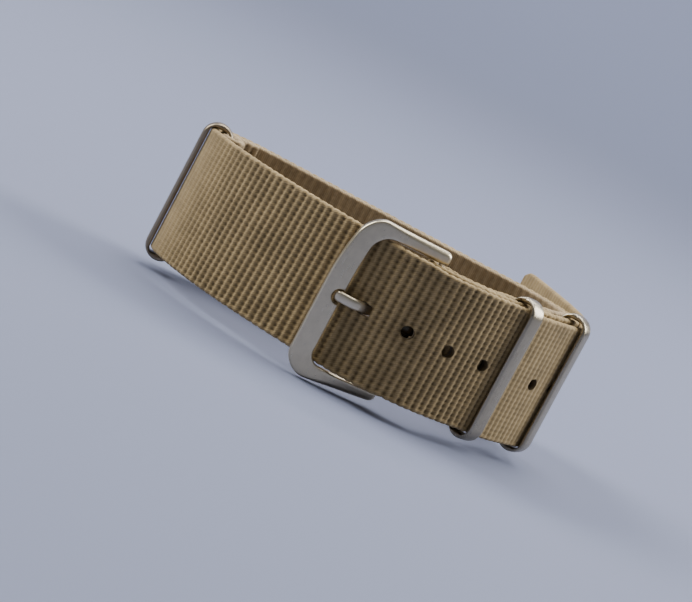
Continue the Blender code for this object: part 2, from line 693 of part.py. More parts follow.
def make_frame():
    """The buckle frame: a flat U with round corners, notched, bored and gently bent."""
    far = FRAME_LENGTH + FAR_BAR_WIDTH / 2
    near = -FRAME_TIP_RADIUS
    window = FRAME_LENGTH - FAR_BAR_WIDTH / 2
    outline = []
    for side in (1, -1):
        arm = [(near, side * FRAME_TIP_HEIGHT / 2), (far, side * FRAME_HEIGHT / 2)]
        outline += arm if side == 1 else list(reversed(arm))
    for side in (-1, 1):
        arm = [(near, side * WINDOW_TIP_HEIGHT / 2), (window, side * WINDOW_HEIGHT / 2)]
        outline += arm if side == -1 else list(reversed(arm))
    bm = bmesh.new()
    prism(bm, outline, -FRAME_THICKNESS / 2, FRAME_THICKNESS / 2)
    for radius, x, heights in ((FRAME_CORNER, far, FRAME_HEIGHT), (WINDOW_CORNER, window, WINDOW_HEIGHT)):
        posts = [e for e in bm.edges if all(abs(v.co.x - x) < MERGE_DISTANCE for v in e.verts)
                 and abs(e.verts[0].co.y - e.verts[1].co.y) < MERGE_DISTANCE
                 and abs(abs(e.verts[0].co.y) - heights / 2) < MERGE_DISTANCE]
        bmesh.ops.bevel(bm, geom=posts, offset=radius, segments=6, profile=0.5, affect='EDGES', material=-1)
    # Round arm ends in the side view
    ends = [e for e in bm.edges if all(abs(v.co.x - near) < MERGE_DISTANCE for v in e.verts)
            and abs(e.verts[0].co.z - e.verts[1].co.z) < MERGE_DISTANCE]
    bmesh.ops.bevel(bm, geom=ends, offset=FRAME_THICKNESS * FRAME_ROUND_SHARE, segments=4, profile=0.5,
                    affect='EDGES', material=-1)
    rims = [e for e in bm.edges if e.is_manifold and e.calc_face_angle() > math.radians(50.0)
            and min(v.co.x for v in e.verts) > near + FRAME_THICKNESS / 2
            and abs(e.verts[0].co.z - e.verts[1].co.z) < MERGE_DISTANCE]
    bmesh.ops.bevel(bm, geom=rims, offset=FRAME_EDGE, segments=2, profile=0.5, affect='EDGES', material=-1)
    stop = near + FRAME_LENGTH / FRAME_CREASES
    while stop < far:
        geometry = list(bm.verts) + list(bm.edges) + list(bm.faces)
        bmesh.ops.bisect_plane(bm, geom=geometry, dist=MERGE_DISTANCE, plane_co=(stop, 0.0, 0.0),
                               plane_no=(1.0, 0.0, 0.0))
        stop += FRAME_LENGTH / FRAME_CREASES
    bmesh.ops.triangulate(bm, faces=bm.faces)
    for vert in bm.verts:
        u, z, w = vert.co
        place = frame_place(u, w)
        vert.co = (place.x, place.y, FRAME_MIDDLE + z)
    cutters = bmesh.new()
    for side in (-1, 1):
        low, high = side * (BARREL_LENGTH / 2), side * pin_end
        bore = circle(TIP_PIN_DIAMETER / 2 + RUNNING_CLEARANCE, HOLE_SIDES)
        depth = high + side * RUNNING_CLEARANCE
        prism(cutters, bore, min(low, depth), max(low, depth), Matrix.Translation((BAR_X, BAR_Y, MIDDLE)))
    add_notch(cutters)
    origin = (BAR_X, BAR_Y, MIDDLE)
    return add_object("buckle_frame", cut_by(bm, cutters), STEEL, origin)


def add_notch(cutters):
    """Adds the cutter that sweeps the tongue's notch about the spring bar."""
    reach = (frame_place(FRAME_LENGTH - FAR_BAR_WIDTH / 2, FRAME_THICKNESS / 2) - BAR_CENTRE).length
    bottom = reach + NOTCH_DEPTH
    corner = min(NOTCH_CORNER, NOTCH_HEIGHT / 2 - MERGE_DISTANCE)
    outline = []
    for x, z in rounded_rectangle(2 * FAR_BAR_WIDTH, NOTCH_HEIGHT, corner):
        outline.append((bottom - FAR_BAR_WIDTH + x, z))
    direction = math.pi + FRAME_SLOPE
    half = 2 * FRAME_THICKNESS / bottom
    verts = [cutters.verts.new((BAR_X + r * math.cos(direction - half), BAR_Y + r * math.sin(direction - half),
                                MIDDLE + z)) for r, z in outline]
    face = cutters.faces.new(verts)
    steps = NOTCH_STEPS
    swept = bmesh.ops.extrude_face_region(cutters, geom=[face])
    risen = [v for v in swept["geom"] if isinstance(v, bmesh.types.BMVert)]
    bmesh.ops.rotate(cutters, verts=risen, cent=(BAR_X, BAR_Y, 0.0),
                     matrix=Matrix.Rotation(2 * half / steps, 3, 'Z'))
    for _ in range(steps - 1):
        top = [f for f in swept["geom"] if isinstance(f, bmesh.types.BMFace)]
        swept = bmesh.ops.extrude_face_region(cutters, geom=top)
        risen = [v for v in swept["geom"] if isinstance(v, bmesh.types.BMVert)]
        bmesh.ops.delete(cutters, geom=top, context='FACES_ONLY')
        bmesh.ops.rotate(cutters, verts=risen, cent=(BAR_X, BAR_Y, 0.0),
                         matrix=Matrix.Rotation(2 * half / steps, 3, 'Z'))


def make_tongue():
    """The prong, wrapped round the spring bar and arched through the first hole."""
    bm = flat_strip(tongue_line.length, TONGUE_THICKNESS, TONGUE_WIDTH, TONGUE_EDGE, 0.0, TONGUE_TIP_CORNER)
    origin = (BAR_X, BAR_Y, MIDDLE)
    return add_object("buckle_tongue", bend(bm, tongue_line, MIDDLE), STEEL, origin)


def make_ring(centre, tangent, normal):
    """A keeper ring about a centre, its strip along the tangent and its depth along the normal."""
    depth = RING_ROOM + 2 * RING_THICKNESS
    outer = rounded_rectangle(depth, RING_HEIGHT, RING_CORNER)
    inner = rounded_rectangle(RING_ROOM, RING_HEIGHT - 2 * RING_THICKNESS, RING_INNER_CORNER)
    bm = bmesh.new()
    rings = []
    for side in (-1, 1):
        for outline in (outer, inner):
            rings.append([bm.verts.new((d, z, side * RING_STRIP / 2)) for d, z in outline])
    outer_low, inner_low, outer_high, inner_high = rings
    count = len(outer)
    rims = []
    for i in range(count):
        j = (i + 1) % count
        bm.faces.new((outer_low[i], outer_low[j], outer_high[j], outer_high[i]))
        bm.faces.new((inner_low[i], inner_low[j], inner_high[j], inner_high[i]))
        bm.faces.new((outer_low[i], outer_low[j], inner_low[j], inner_low[i]))
        bm.faces.new((outer_high[i], outer_high[j], inner_high[j], inner_high[i]))
        rims.append(bm.edges.get((outer_low[i], outer_low[j])))
        rims.append(bm.edges.get((outer_high[i], outer_high[j])))
    bmesh.ops.recalc_face_normals(bm, faces=bm.faces)
    bmesh.ops.bevel(bm, geom=rims, offset=RING_EDGE, segments=2, profile=0.5, affect='EDGES', material=-1)
    turn = Matrix(((normal.x, 0.0, tangent.x, centre.x), (normal.y, 0.0, tangent.y, centre.y),
                   (0.0, 1.0, 0.0, MIDDLE), (0.0, 0.0, 0.0, 1.0)))
    bmesh.ops.transform(bm, verts=bm.verts, matrix=turn)
    return bm


def make_keepers():
    """The three rings; returns what their joints need."""
    joints = {}
    half_room = RING_ROOM / 2
    for name, at in (("keeper_front", front_on_loop), ("keeper_side", side_on_loop)):
        point, tangent, normal = loop.frame(at)
        centre = point + normal * (RING_INNER_FACE - half_room)
        origin = (centre.x, centre.y, MIDDLE)
        add_object(name, make_ring(centre, tangent, normal), STEEL, origin)
        joints[name] = (origin, tangent)
    point, tangent, normal = loop.frame(left_on_loop)
    inner_bar = point + normal * (LAYER_STEP + left_fold_radius)
    centre = inner_bar - normal * (RING_THICKNESS / 2 + half_room)
    origin = (inner_bar.x, inner_bar.y, MIDDLE)
    add_object("keeper_left", make_ring(centre, tangent, normal), STEEL, origin)
    joints["keeper_left"] = (origin, tangent)
    return joints


arm_inner = WINDOW_TIP_HEIGHT / 2
pin_end = arm_inner - FRAME_DROP + TIP_ENTRY
bore_radius = BARREL_RADIUS - BARREL_WALL
collar_low = BARREL_LENGTH / 2 + TIP_TRAVEL + RUNNING_CLEARANCE
shank_low = BARREL_LENGTH / 2 - TIP_SHANK_LENGTH


def make_spring_bar():
    """The tube, its two sliding tips and the coil spring between them."""
    outer, half = BARREL_RADIUS, BARREL_LENGTH / 2
    tube = [(bore_radius, -half), (outer, -half), (outer, half), (bore_radius, half)]
    bm = turned([(r, MIDDLE + z) for r, z in tube], BAR_CENTRE, closed=True)
    add_object("bar_barrel", bm, PIN_STEEL, (BAR_X, BAR_Y, MIDDLE))
    shank = bore_radius - RUNNING_CLEARANCE
    collar = TIP_COLLAR_DIAMETER / 2
    pin = TIP_PIN_DIAMETER / 2
    collar_high = collar_low + TIP_COLLAR_LENGTH
    profile = [(0.0, shank_low), (shank, shank_low), (shank, collar_low), (collar, collar_low),
               (collar, collar_high), (pin, collar_high), (pin, pin_end - TIP_CHAMFER),
               (pin - TIP_CHAMFER, pin_end), (0.0, pin_end)]
    for name, side in (("bar_tip_upper", 1), ("bar_tip_lower", -1)):
        bm = turned([(r, MIDDLE + side * z) for r, z in profile], BAR_CENTRE, closed=False)
        add_object(name, bm, PIN_STEEL, (BAR_X, BAR_Y, MIDDLE + side * pin_end))
    make_spring()


def make_spring():
    """One unbroken coil inside the barrel, between the tips' shanks."""
    radius = bore_radius - SPRING_CLEARANCE - SPRING_WIRE / 2
    half = shank_low - SPRING_WIRE / 2 - SPRING_CLEARANCE
    count = SPRING_TURNS * SPRING_POINTS
    curve = bpy.data.curves.new("bar_spring_line", 'CURVE')
    curve.dimensions = '3D'
    curve.bevel_depth = SPRING_WIRE / 2
    curve.bevel_resolution = 0
    curve.use_fill_caps = True
    curve.resolution_u = 1
    curve.render_resolution_u = 0
    line = curve.splines.new('POLY')
    line.points.add(count)
    for i, point in enumerate(line.points):
        angle = math.tau * i / SPRING_POINTS
        height = MIDDLE - half + 2 * half * i / count
        point.co = (BAR_X + radius * math.cos(angle), BAR_Y + radius * math.sin(angle), height, 1.0)
    made = bpy.data.objects.new("bar_spring", curve)
    curve.materials.append(SPRING_STEEL)
    bpy.context.collection.objects.link(made)
    made.parent = seat


make_main_strap()
make_short_strap()
make_seams()
make_frame()
make_tongue()
make_spring_bar()
keeper_joints = make_keepers()

# The origin goes to the middle of the assembly's base.
bpy.context.view_layer.update()
corners = [made.matrix_world @ Vector(corner) for made in bpy.data.objects if made.type in {'MESH', 'CURVE'}
           for corner in made.bound_box]
low = Vector([min(corner[i] for corner in corners) for i in range(3)])
high = Vector([max(corner[i] for corner in corners) for i in range(3)])
seat.location = (-(low.x + high.x) / 2, -(low.y + high.y) / 2, -low.z)
bpy.context.view_layer.update()
print("size", [round(v, 5) for v in high - low], "bar", [round(v, 6) for v in
      seat.matrix_world @ Vector((BAR_X, BAR_Y, MIDDLE))])
for name, (origin, tangent) in keeper_joints.items():
    print(name, [round(v, 6) for v in seat.matrix_world @ Vector(origin)], [round(v, 6) for v in tangent])
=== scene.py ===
"""Dresses the buckled watch strap: ribbed nylon webbing, satin steel buckle and keepers, thread."""
import logging
import math
from collections.abc import Callable
from dataclasses import dataclass, field
from enum import Enum

import bmesh
import bpy
import numpy as np
from mathutils import Matrix, Vector


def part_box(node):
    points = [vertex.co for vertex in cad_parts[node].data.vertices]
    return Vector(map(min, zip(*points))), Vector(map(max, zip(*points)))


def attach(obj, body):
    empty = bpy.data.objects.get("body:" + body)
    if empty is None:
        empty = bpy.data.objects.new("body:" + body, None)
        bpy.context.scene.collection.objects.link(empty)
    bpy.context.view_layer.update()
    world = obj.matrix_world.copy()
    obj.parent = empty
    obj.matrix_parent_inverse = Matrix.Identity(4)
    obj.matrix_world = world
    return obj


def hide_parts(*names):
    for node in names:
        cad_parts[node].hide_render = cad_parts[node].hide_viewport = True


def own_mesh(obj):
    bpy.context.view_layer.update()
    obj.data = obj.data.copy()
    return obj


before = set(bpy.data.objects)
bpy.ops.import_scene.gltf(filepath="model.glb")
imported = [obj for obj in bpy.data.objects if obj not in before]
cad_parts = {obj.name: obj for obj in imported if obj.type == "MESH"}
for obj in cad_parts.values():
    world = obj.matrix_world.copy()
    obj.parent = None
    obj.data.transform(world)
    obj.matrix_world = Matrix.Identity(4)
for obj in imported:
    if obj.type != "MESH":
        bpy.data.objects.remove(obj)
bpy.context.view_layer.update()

log = logging.getLogger("strap")
Colour = tuple[float, float, float]
Point = tuple[float, float]
Table = tuple[Point, ...]
Mark = tuple[float, float, float]
Pose = tuple[Vector, Vector]
Depth = Callable[[float], float]
Link = tuple[bpy.types.Node, str | int]

# The length of one band of a wave texture of scale 1.
WAVE_BAND = 0.314


class Body(str, Enum):
    """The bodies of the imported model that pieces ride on."""

    STRAP = "strap"
    FRAME = "frame"
    TONGUE = "tongue"
    TIP_UPPER = "tip_upper"
    TIP_LOWER = "tip_lower"
    FRONT_KEEPER = "front_keeper"
    SIDE_KEEPER = "side_keeper"
    LEFT_KEEPER = "left_keeper"


class Slot(str, Enum):
    """The record's material slots."""

    WEBBING = "webbing"
    INNER = "inner_webbing"
    THREAD = "thread"
    STEEL = "steel"
    PIN = "pin_steel"
    SPRING = "spring_steel"


# Finishes


class Nodes:
    """A short hand for building one material's node tree."""

    def __init__(self, name: str) -> None:
        """Starts a material with a bare Principled shader.

        Args:
            name: the material's name.
        """
        self.material = bpy.data.materials.new(name)
        self.material.use_nodes = True
        self.tree = self.material.node_tree
        self.shader = self.tree.nodes["Principled BSDF"]

    def add(self, kind: str, inputs: dict | None = None, **settings: object) -> bpy.types.Node:
        """Adds a node.

        Args:
            kind: the node's type without its ShaderNode prefix.
            inputs: constant values or (node, output) links by input name or index.
            settings: attributes of the node.

        Returns:
            The new node.
        """
        node = self.tree.nodes.new("ShaderNode" + kind)
        for key, value in settings.items():
            setattr(node, key, value)
        for key, value in (inputs or {}).items():
            self.feed(node, key, value)
        return node

    def feed(self, node: bpy.types.Node, key: str | int, value: object) -> None:
        """Sets or links one input of a node.

        Args:
            node: the node that receives.
            key: the input's name or index.
            value: a constant, or a (node, output) pair.
        """
        if isinstance(value, tuple) and isinstance(value[0], bpy.types.Node):
            self.tree.links.new(value[0].outputs[value[1]], node.inputs[key])
        else:
            node.inputs[key].default_value = value

    def place(self) -> Link:
        """The piece's Object coordinates."""
        return self.add("TexCoord"), "Object"

    def mapped(self, source: Link, key: str, value: Mark) -> Link:
        """Coordinates after a Mapping node with one input set."""
        return self.add("Mapping", {"Vector": source, key: value}), "Vector"

    def attribute(self, name: str, output: str = "Fac") -> Link:
        """What the mesh stores for each point under a name."""
        return self.add("Attribute", attribute_name=name), output

    def noise(self, source: Link, scale: float, detail: float, roughness: float = 0.5) -> Link:
        """Adds a noise texture.

        Args:
            source: the coordinates.
            scale: how fine it is.
            detail: how many finer layers it has.
            roughness: how strong the finer layers are.

        Returns:
            Its value.
        """
        inputs = {"Vector": source, "Scale": scale, "Detail": detail, "Roughness": roughness}
        return self.add("TexNoise", inputs), "Fac"

    def ramp(self, source: Link, *stops: tuple[float, Colour]) -> Link:
        """Adds a colour ramp.

        Args:
            source: what drives it.
            stops: positions and colours.

        Returns:
            Its colour.
        """
        node = self.add("ValToRGB", {"Fac": source})
        elements = node.color_ramp.elements
        while len(elements) < len(stops):
            elements.new(0.5)
        for element, (at, colour) in zip(elements, stops):
            element.position = at
            element.color = (*colour, 1.0)
        return node, "Color"

    def multiply(self, base: Link, by: Link, share: float = 1.0) -> Link:
        """Multiplies one colour by another.

        Args:
            base: the first colour.
            by: the second colour.
            share: how strongly it is multiplied.

        Returns:
            The product.
        """
        return self.add("Mix", {0: share, 6: base, 7: by}, data_type="RGBA", blend_type="MULTIPLY"), 2

    def weighed(self, first: Link, second: Link, share: float) -> Link:
        """Adds up a share of one value and the rest of another.

        Args:
            first: the first value.
            second: the second value.
            share: the first one's share.

        Returns:
            The sum.
        """
        parts = [(self.add("Math", {0: source, 1: part}, operation="MULTIPLY"), "Value")
                 for source, part in ((first, share), (second, 1.0 - share))]
        return self.add("Math", dict(enumerate(parts)), operation="ADD"), "Value"

    def bump(self, height: Link, strength: float, distance: float) -> Link:
        """A normal that is tilted by a height."""
        return self.add("Bump", {"Height": height, "Strength": strength, "Distance": distance}), "Normal"

    def dress(self, sockets: dict[str, object]) -> bpy.types.Material:
        """Sets or links the shader's own sockets.

        Args:
            sockets: constants or links by socket name.

        Returns:
            The finished material.
        """
        for key, value in sockets.items():
            self.feed(self.shader, key, value)
        return self.material


def darker(colour: Colour, share: float) -> Colour:
    """A colour times a share."""
    return tuple(share * c for c in colour)


@dataclass(frozen=True)
class NylonFinish:
    """Ribbed woven nylon: tan crests, grooves and pits darkened with painted shade, fine twist in the yarn.
    """

    name: str
    # The groove and pit colours are painted shade in the hollows of the weave.
    crest: Colour = (0.362, 0.260, 0.123)
    groove: Colour = (0.244, 0.171, 0.073)
    pit: Colour = (0.102, 0.067, 0.024)
    twist_pitch: float = 0.00026
    twist_angle: float = math.radians(38.0)

    def make(self) -> bpy.types.Material:
        """Builds the material from the piece's weave and relief attributes.

        Returns:
            The material.
        """
        n = Nodes(self.name)
        weave = n.attribute("weave", "Vector")
        mottle = n.noise(n.place(), 260.0, 3.0)
        speck = n.noise(weave, 2600.0, 2.0)
        turned = n.mapped(weave, "Rotation", (0.0, self.twist_angle, 0.0))
        twist = n.add("TexWave", {"Vector": turned, "Scale": WAVE_BAND / self.twist_pitch, "Distortion": 1.6,
                                  "Detail": 1.0, "Detail Scale": 1.5}, bands_direction='Z'), "Fac"
        # Painted shade: the relief share makes pits and grooves darker than the crests.
        tone = n.ramp(n.attribute("relief"), (0.0, self.pit), (0.40, self.groove), (0.90, self.crest))
        for source, low, high, share in (
                (mottle, (0.30, (0.78, 0.77, 0.74)), (0.70, (1.12, 1.12, 1.12)), 1.0),
                (twist, (0.15, (0.78, 0.77, 0.75)), (0.75, (1.06, 1.06, 1.06)), 0.6),
                (speck, (0.35, (0.86, 0.86, 0.85)), (0.70, (1.08, 1.08, 1.08)), 0.8)):
            tone = n.multiply(tone, n.ramp(source, low, high), share)
        return n.dress({"Base Color": tone, "Roughness": 0.78, "Sheen Weight": 0.12, "Sheen Roughness": 0.5,
                        "Sheen Tint": (0.95, 0.88, 0.74, 1.0), "Specular IOR Level": 0.35,
                        "Normal": n.bump(n.weighed(twist, speck, 0.7), 0.5, 0.00005)})


@dataclass(frozen=True)
class SteelFinish:
    """Satin stainless steel with fine brushing and small handling marks."""

    name: str
    tint: Colour = (0.612, 0.540, 0.400)
    roughness: float = 0.32
    grain: Mark = (700.0, 700.0, 60.0)
    # Names the attribute of painted shade: 1 leaves the tone as it is, lower values darken it.
    shade: str = ""

    def make(self) -> bpy.types.Material:
        """Builds the material from Object coordinates, darkened by painted shade from the attribute that
        shade names.

        Returns:
            The material.
        """
        n = Nodes(self.name)
        brushed = n.noise(n.mapped(n.place(), "Scale", self.grain), 9.0, 4.0)
        marks = n.noise(n.place(), 900.0, 5.0, 0.6)
        tone = n.ramp(marks, (0.35, darker(self.tint, 0.92)), (0.65, self.tint))
        # Painted shade: the tone is multiplied by the piece's attribute.
        if self.shade:
            tone = n.multiply(tone, n.attribute(self.shade))
        rough = n.add("MapRange", {"Value": brushed, "From Min": 0.25, "From Max": 0.75,
                                   "To Min": self.roughness - 0.07, "To Max": self.roughness + 0.10})
        return n.dress({"Base Color": tone, "Roughness": (rough, "Result"), "Metallic": 1.0,
                        "Normal": n.bump(n.weighed(brushed, marks, 0.6), 0.25, 0.00003)})


@dataclass(frozen=True)
class ThreadFinish:
    """Twisted sewing thread."""

    name: str
    colour: Colour = (0.27, 0.21, 0.12)

    def make(self) -> bpy.types.Material:
        """Builds the material from Object coordinates.

        Returns:
            The material.
        """
        n = Nodes(self.name)
        twist = n.add("TexWave", {"Vector": n.place(), "Scale": 1500.0, "Distortion": 0.6},
                      bands_direction='DIAGONAL'), "Fac"
        return n.dress({"Base Color": n.ramp(twist, (0.2, darker(self.colour, 0.6)), (0.8, self.colour)),
                        "Roughness": 0.7, "Normal": n.bump(twist, 0.5, 0.00003)})


@dataclass(frozen=True)
class FloorFinish:
    """The plain pale floor."""

    name: str = "pale_floor"
    colour: Colour = (0.158, 0.179, 0.272)

    def make(self) -> bpy.types.Material:
        """Builds the material with a faint unevenness.

        Returns:
            The material.
        """
        n = Nodes(self.name)
        cloud = n.noise(n.place(), 3.0, 1.0)
        return n.dress({"Base Color": n.ramp(cloud, (0.3, darker(self.colour, 0.985)), (0.7, self.colour)),
                        "Roughness": 0.9})


# Plan of the strap


def unit(angle: float) -> Vector:
    """The plan direction at an angle."""
    return Vector((math.cos(angle), math.sin(angle)))


def leftward(way: Vector) -> Vector:
    """A plan vector turned a quarter to its left."""
    return Vector((-way.y, way.x))


def pose(x: float, y: float, degrees: float) -> Pose:
    """A point and a unit heading."""
    return Vector((x, y)), unit(math.radians(degrees))


def inset(place: Pose, distance: float) -> Pose:
    """A pose moved to its inner side."""
    point, heading = place
    return point + leftward(heading) * distance, heading


def eased(share: float | np.ndarray) -> float | np.ndarray:
    """A share from 0 to 1 with a gentle start and end."""
    return share * share * (3.0 - 2.0 * share)


def lengths_along(points: np.ndarray) -> np.ndarray:
    """The length from the first of some plan points to each of them."""
    return np.concatenate([[0.0], np.cumsum(np.hypot(*np.diff(points, axis=0).T))])


def span(start: Pose, end: Pose, step: float = 0.0001) -> list[Vector]:
    """Points of a smooth curve between two poses.

    Args:
        start: the first pose.
        end: the last pose.
        step: about how far apart the points are.

    Returns:
        The points, both ends included.
    """
    (a, out), (b, into) = start, end
    chord = (b - a).length
    turn = abs(math.acos(max(-1.0, min(1.0, out.dot(into)))))
    share = 1 / 3
    if turn > math.radians(5.0):
        share = (4 / 3) * math.tan(turn / 4) / (2 * math.sin(turn / 2))
    p, q = a + out * chord * share, b - into * chord * share
    t = np.linspace(0.0, 1.0, max(4, math.ceil(chord / step)) + 1)
    return [a * (1 - v) ** 3 + p * (3 * (1 - v) ** 2 * v) + q * (3 * (1 - v) * v * v) + b * v ** 3 for v in t]


def chain(places: list[Pose]) -> list[Vector]:
    """Points of the smooth curve through a list of poses."""
    return [point for start, end in zip(places, places[1:]) for point in span(start, end)]


def half_turn(centre: Vector, first: Vector, radius: float) -> list[Vector]:
    """Points of an anticlockwise half circle.

    Args:
        centre: its centre.
        first: the direction from there to its first point.
        radius: its radius.

    Returns:
        The points in order.
    """
    return [centre + (first * math.cos(a) + leftward(first) * math.sin(a)) * radius
            for a in np.linspace(0.0, math.pi, 49)]


def step_between(low: float, high: float, start: float, end: float) -> Depth:
    """A smooth step from low to high between two lengths, as a function of the length."""
    return lambda s: low + (high - low) * eased(min(max((s - start) / (end - start), 0.0), 1.0))


class Route:
    """A plan curve as closely spaced points, read by its length."""

    def __init__(self, points: list[Vector]) -> None:
        """Keeps the points and works out lengths and directions.

        Args:
            points: the plan points in order, in metres.
        """
        kept = [points[0]]
        for point in points[1:]:
            if (point - kept[-1]).length > 2e-6:
                kept.append(point)
        self.at = np.array([(p.x, p.y) for p in kept])
        self.marks = lengths_along(self.at)
        self.length = float(self.marks[-1])
        ways = np.gradient(self.at, self.marks, axis=0)
        self.ways = ways / np.hypot(*ways.T)[:, None]

    def read(self, s: np.ndarray) -> tuple[np.ndarray, np.ndarray, np.ndarray]:
        """Points, directions and inward normals.

        Args:
            s: lengths along the route.

        Returns:
            Three arrays of plan vectors.
        """
        point, way = (np.stack([np.interp(s, self.marks, column) for column in table.T], 1)
                      for table in (self.at, self.ways))
        way /= np.hypot(*way.T)[:, None]
        point += way * (s - np.clip(s, 0.0, self.length))[:, None]
        return point, way, np.stack([-way[:, 1], way[:, 0]], 1)

    def frame(self, s: float) -> tuple[Vector, Vector, Vector]:
        """The point, direction and inward normal at one length."""
        return tuple(Vector(rows[0]) for rows in self.read(np.array([s])))

    def nearest(self, target: Vector) -> float:
        """Finds where the route passes nearest to a point.

        Args:
            target: the point.

        Returns:
            The length there.
        """
        away = np.array(target)[:2] - self.at
        i = int(np.argmin(np.hypot(*away.T)))
        return float(self.marks[i] + away[i] @ self.ways[i])

    def beside(self, start: float, end: float, distance: float | Depth) -> list[Vector]:
        """Points at a distance to the inner side.

        Args:
            start: the first length.
            end: the last length.
            distance: metres, or a function of the length.

        Returns:
            The points in order.
        """
        lengths = np.linspace(start, end, max(2, math.ceil((end - start) / 0.0001)) + 1)
        point, _, normal = self.read(lengths)
        away = np.array([distance(s) if callable(distance) else distance for s in lengths])
        return [Vector(p) for p in point + normal * away[:, None]]


@dataclass
class StrapPlan:
    """The plan of every layer of webbing, the same as in the solids.

    A mark is a pose as two shares of a size and a heading in degrees.
    """

    bar: Vector
    middle: float
    bar_from_home: Point = (0.0093, 0.0012)
    loop_width: float = 0.0600
    loop_depth: float = 0.0320
    frame_length: float = 0.01241
    frame_slope: float = math.radians(18.8)
    frame_bend: float = math.radians(18.0)
    frame_thickness: float = 0.0016
    far_bar_width: float = 0.0031
    half_web: float = 0.00055
    layer_step: float = 0.00138
    tail_step: float = 0.00145
    fold_radius: float = 0.00138
    ring_thickness: float = 0.0009
    ring_strip: float = 0.0027
    ring_room: float = 0.00305
    ring_clearance: float = 0.00025
    pocket_clearance: float = 0.00020
    fold_pocket_clearance: float = 0.00042
    ring_travel: float = 0.0008
    ramp: float = 0.0030
    lap: float = 0.0040
    tack_from_bar: float = 0.0050
    tack_beside_ring: float = 0.0064
    settled_before_tack: float = 0.00036
    flap_beyond_tack: float = 0.0045
    leg_exit: float = 0.0018
    leg_heading: float = math.radians(-4.0)
    front_setback: float = 0.00065
    side_advance: float = 0.00050
    under_bar_gap: float = 0.00027
    under_bar_degrees: float = -21.0
    over_bar: tuple[Mark, ...] = ((-0.6728, -0.2772, -19.0), (-0.4110, -0.3546, -10.5),
                                  (-0.0564, -0.3787, 2.0))
    before_meet: Mark = (0.2400, -0.0625, 29.0)
    meet: Mark = (0.3333, 0.0641, 43.5)
    front: Mark = (0.4100, 0.2156, 50.0)
    between_rings: Mark = (0.4800, 0.3969, 58.0)
    side: Mark = (0.5317, 0.5719, 66.0)
    free_end: tuple[Mark, ...] = ((0.5492, 0.7063, 91.0), (0.5317, 0.8531, 108.0), (0.3900, 1.671875, 112.0))
    back: tuple[Mark, ...] = ((0.3400, 1.0000, 180.0), (-0.3400, 1.0000, 180.0))
    left: Mark = (-0.4855, 0.7200, 275.5)
    front_left: tuple[Mark, ...] = ((-0.4347, 0.5081, 304.6), (-0.2432, 0.1638, 326.9))
    before_bar: Mark = (-1.1733, -0.0967, 336.0)

    def frame_pose(self, x: float, y: float, degrees: float) -> Pose:
        """A pose from shares of the frame's length, measured from the spring bar."""
        return pose(self.bar.x + x * self.frame_length, self.bar.y + y * self.frame_length, degrees)

    def near_bar(self, mark: Mark) -> Pose:
        """A pose of the middle of the webbing from shares of the frame's length."""
        return inset(self.frame_pose(*mark), self.half_web)

    def on_loop(self, mark: Mark) -> Pose:
        """A pose of the middle of the webbing from shares of the loop's width and depth."""
        x, y, degrees = mark
        return inset(pose(self.home.x + x * self.loop_width, self.home.y + y * self.loop_depth, degrees),
                     self.half_web)

    def behind(self, at: float) -> float:
        """The length on the loop that lies behind a length on the tail."""
        point, _, normal = self.tail.frame(at)
        return self.loop.nearest(point + normal * self.tail_step)

    def frame_place(self, u: float | np.ndarray, w: float | np.ndarray) -> tuple:
        """Places on the bent frame.

        Args:
            u: how far from the spring bar.
            w: how far in front of the frame's middle.

        Returns:
            X and Y.
        """
        start = math.pi + self.frame_slope + self.frame_bend / 2
        radius = self.frame_length / self.frame_bend
        angle = start - u / radius
        centre = self.bar + Vector((math.sin(start), -math.cos(start))) * radius
        return centre.x - np.sin(angle) * (radius + w), centre.y + np.cos(angle) * (radius + w)

    def __post_init__(self) -> None:
        """Lays out the routes of the main strap and the short strap."""
        self.home = self.bar - Vector(self.bar_from_home)
        corner = self.frame_place(self.frame_length - self.far_bar_width / 2, -self.frame_thickness / 2)
        under_bar = inset(pose(*corner, self.under_bar_degrees), self.under_bar_gap + self.half_web)
        tail_places = [under_bar] + [self.near_bar(mark) for mark in self.over_bar]
        tail_places += [self.on_loop(mark) for mark in (self.before_meet, self.meet, self.front,
                                                        self.between_rings, self.side, *self.free_end)]
        self.tail = Route(chain(tail_places))
        self.front_at = self.tail.nearest(self.on_loop(self.front)[0]) - self.front_setback
        self.side_at = self.tail.nearest(self.on_loop(self.side)[0]) + self.side_advance
        heading = unit(self.leg_heading)
        inward = leftward(heading)
        leg_start = self.bar - inward * self.fold_radius
        join_at = self.tail.nearest(self.on_loop(self.meet)[0])
        leave_at = self.side_at + self.leg_exit
        follow = self.tail.beside(join_at, leave_at, self.tail_step)
        join = (follow[0], self.tail.frame(join_at)[1])
        leave = (follow[-1], self.tail.frame(leave_at)[1])
        back_right, back_left, left, *front_left = (
            self.on_loop(mark) for mark in (*self.back, self.left, *self.front_left))
        self.loop = Route(span((leg_start, heading), join) + follow + span(leave, back_right)
                          + chain([back_right, back_left, left, *front_left, self.near_bar(self.before_bar),
                                   under_bar]))
        self.front_on_loop = self.behind(self.front_at)
        self.side_on_loop = self.behind(self.side_at)
        self.left_on_loop = self.loop.nearest(left[0])
        self.lay_layers(inward, leg_start)

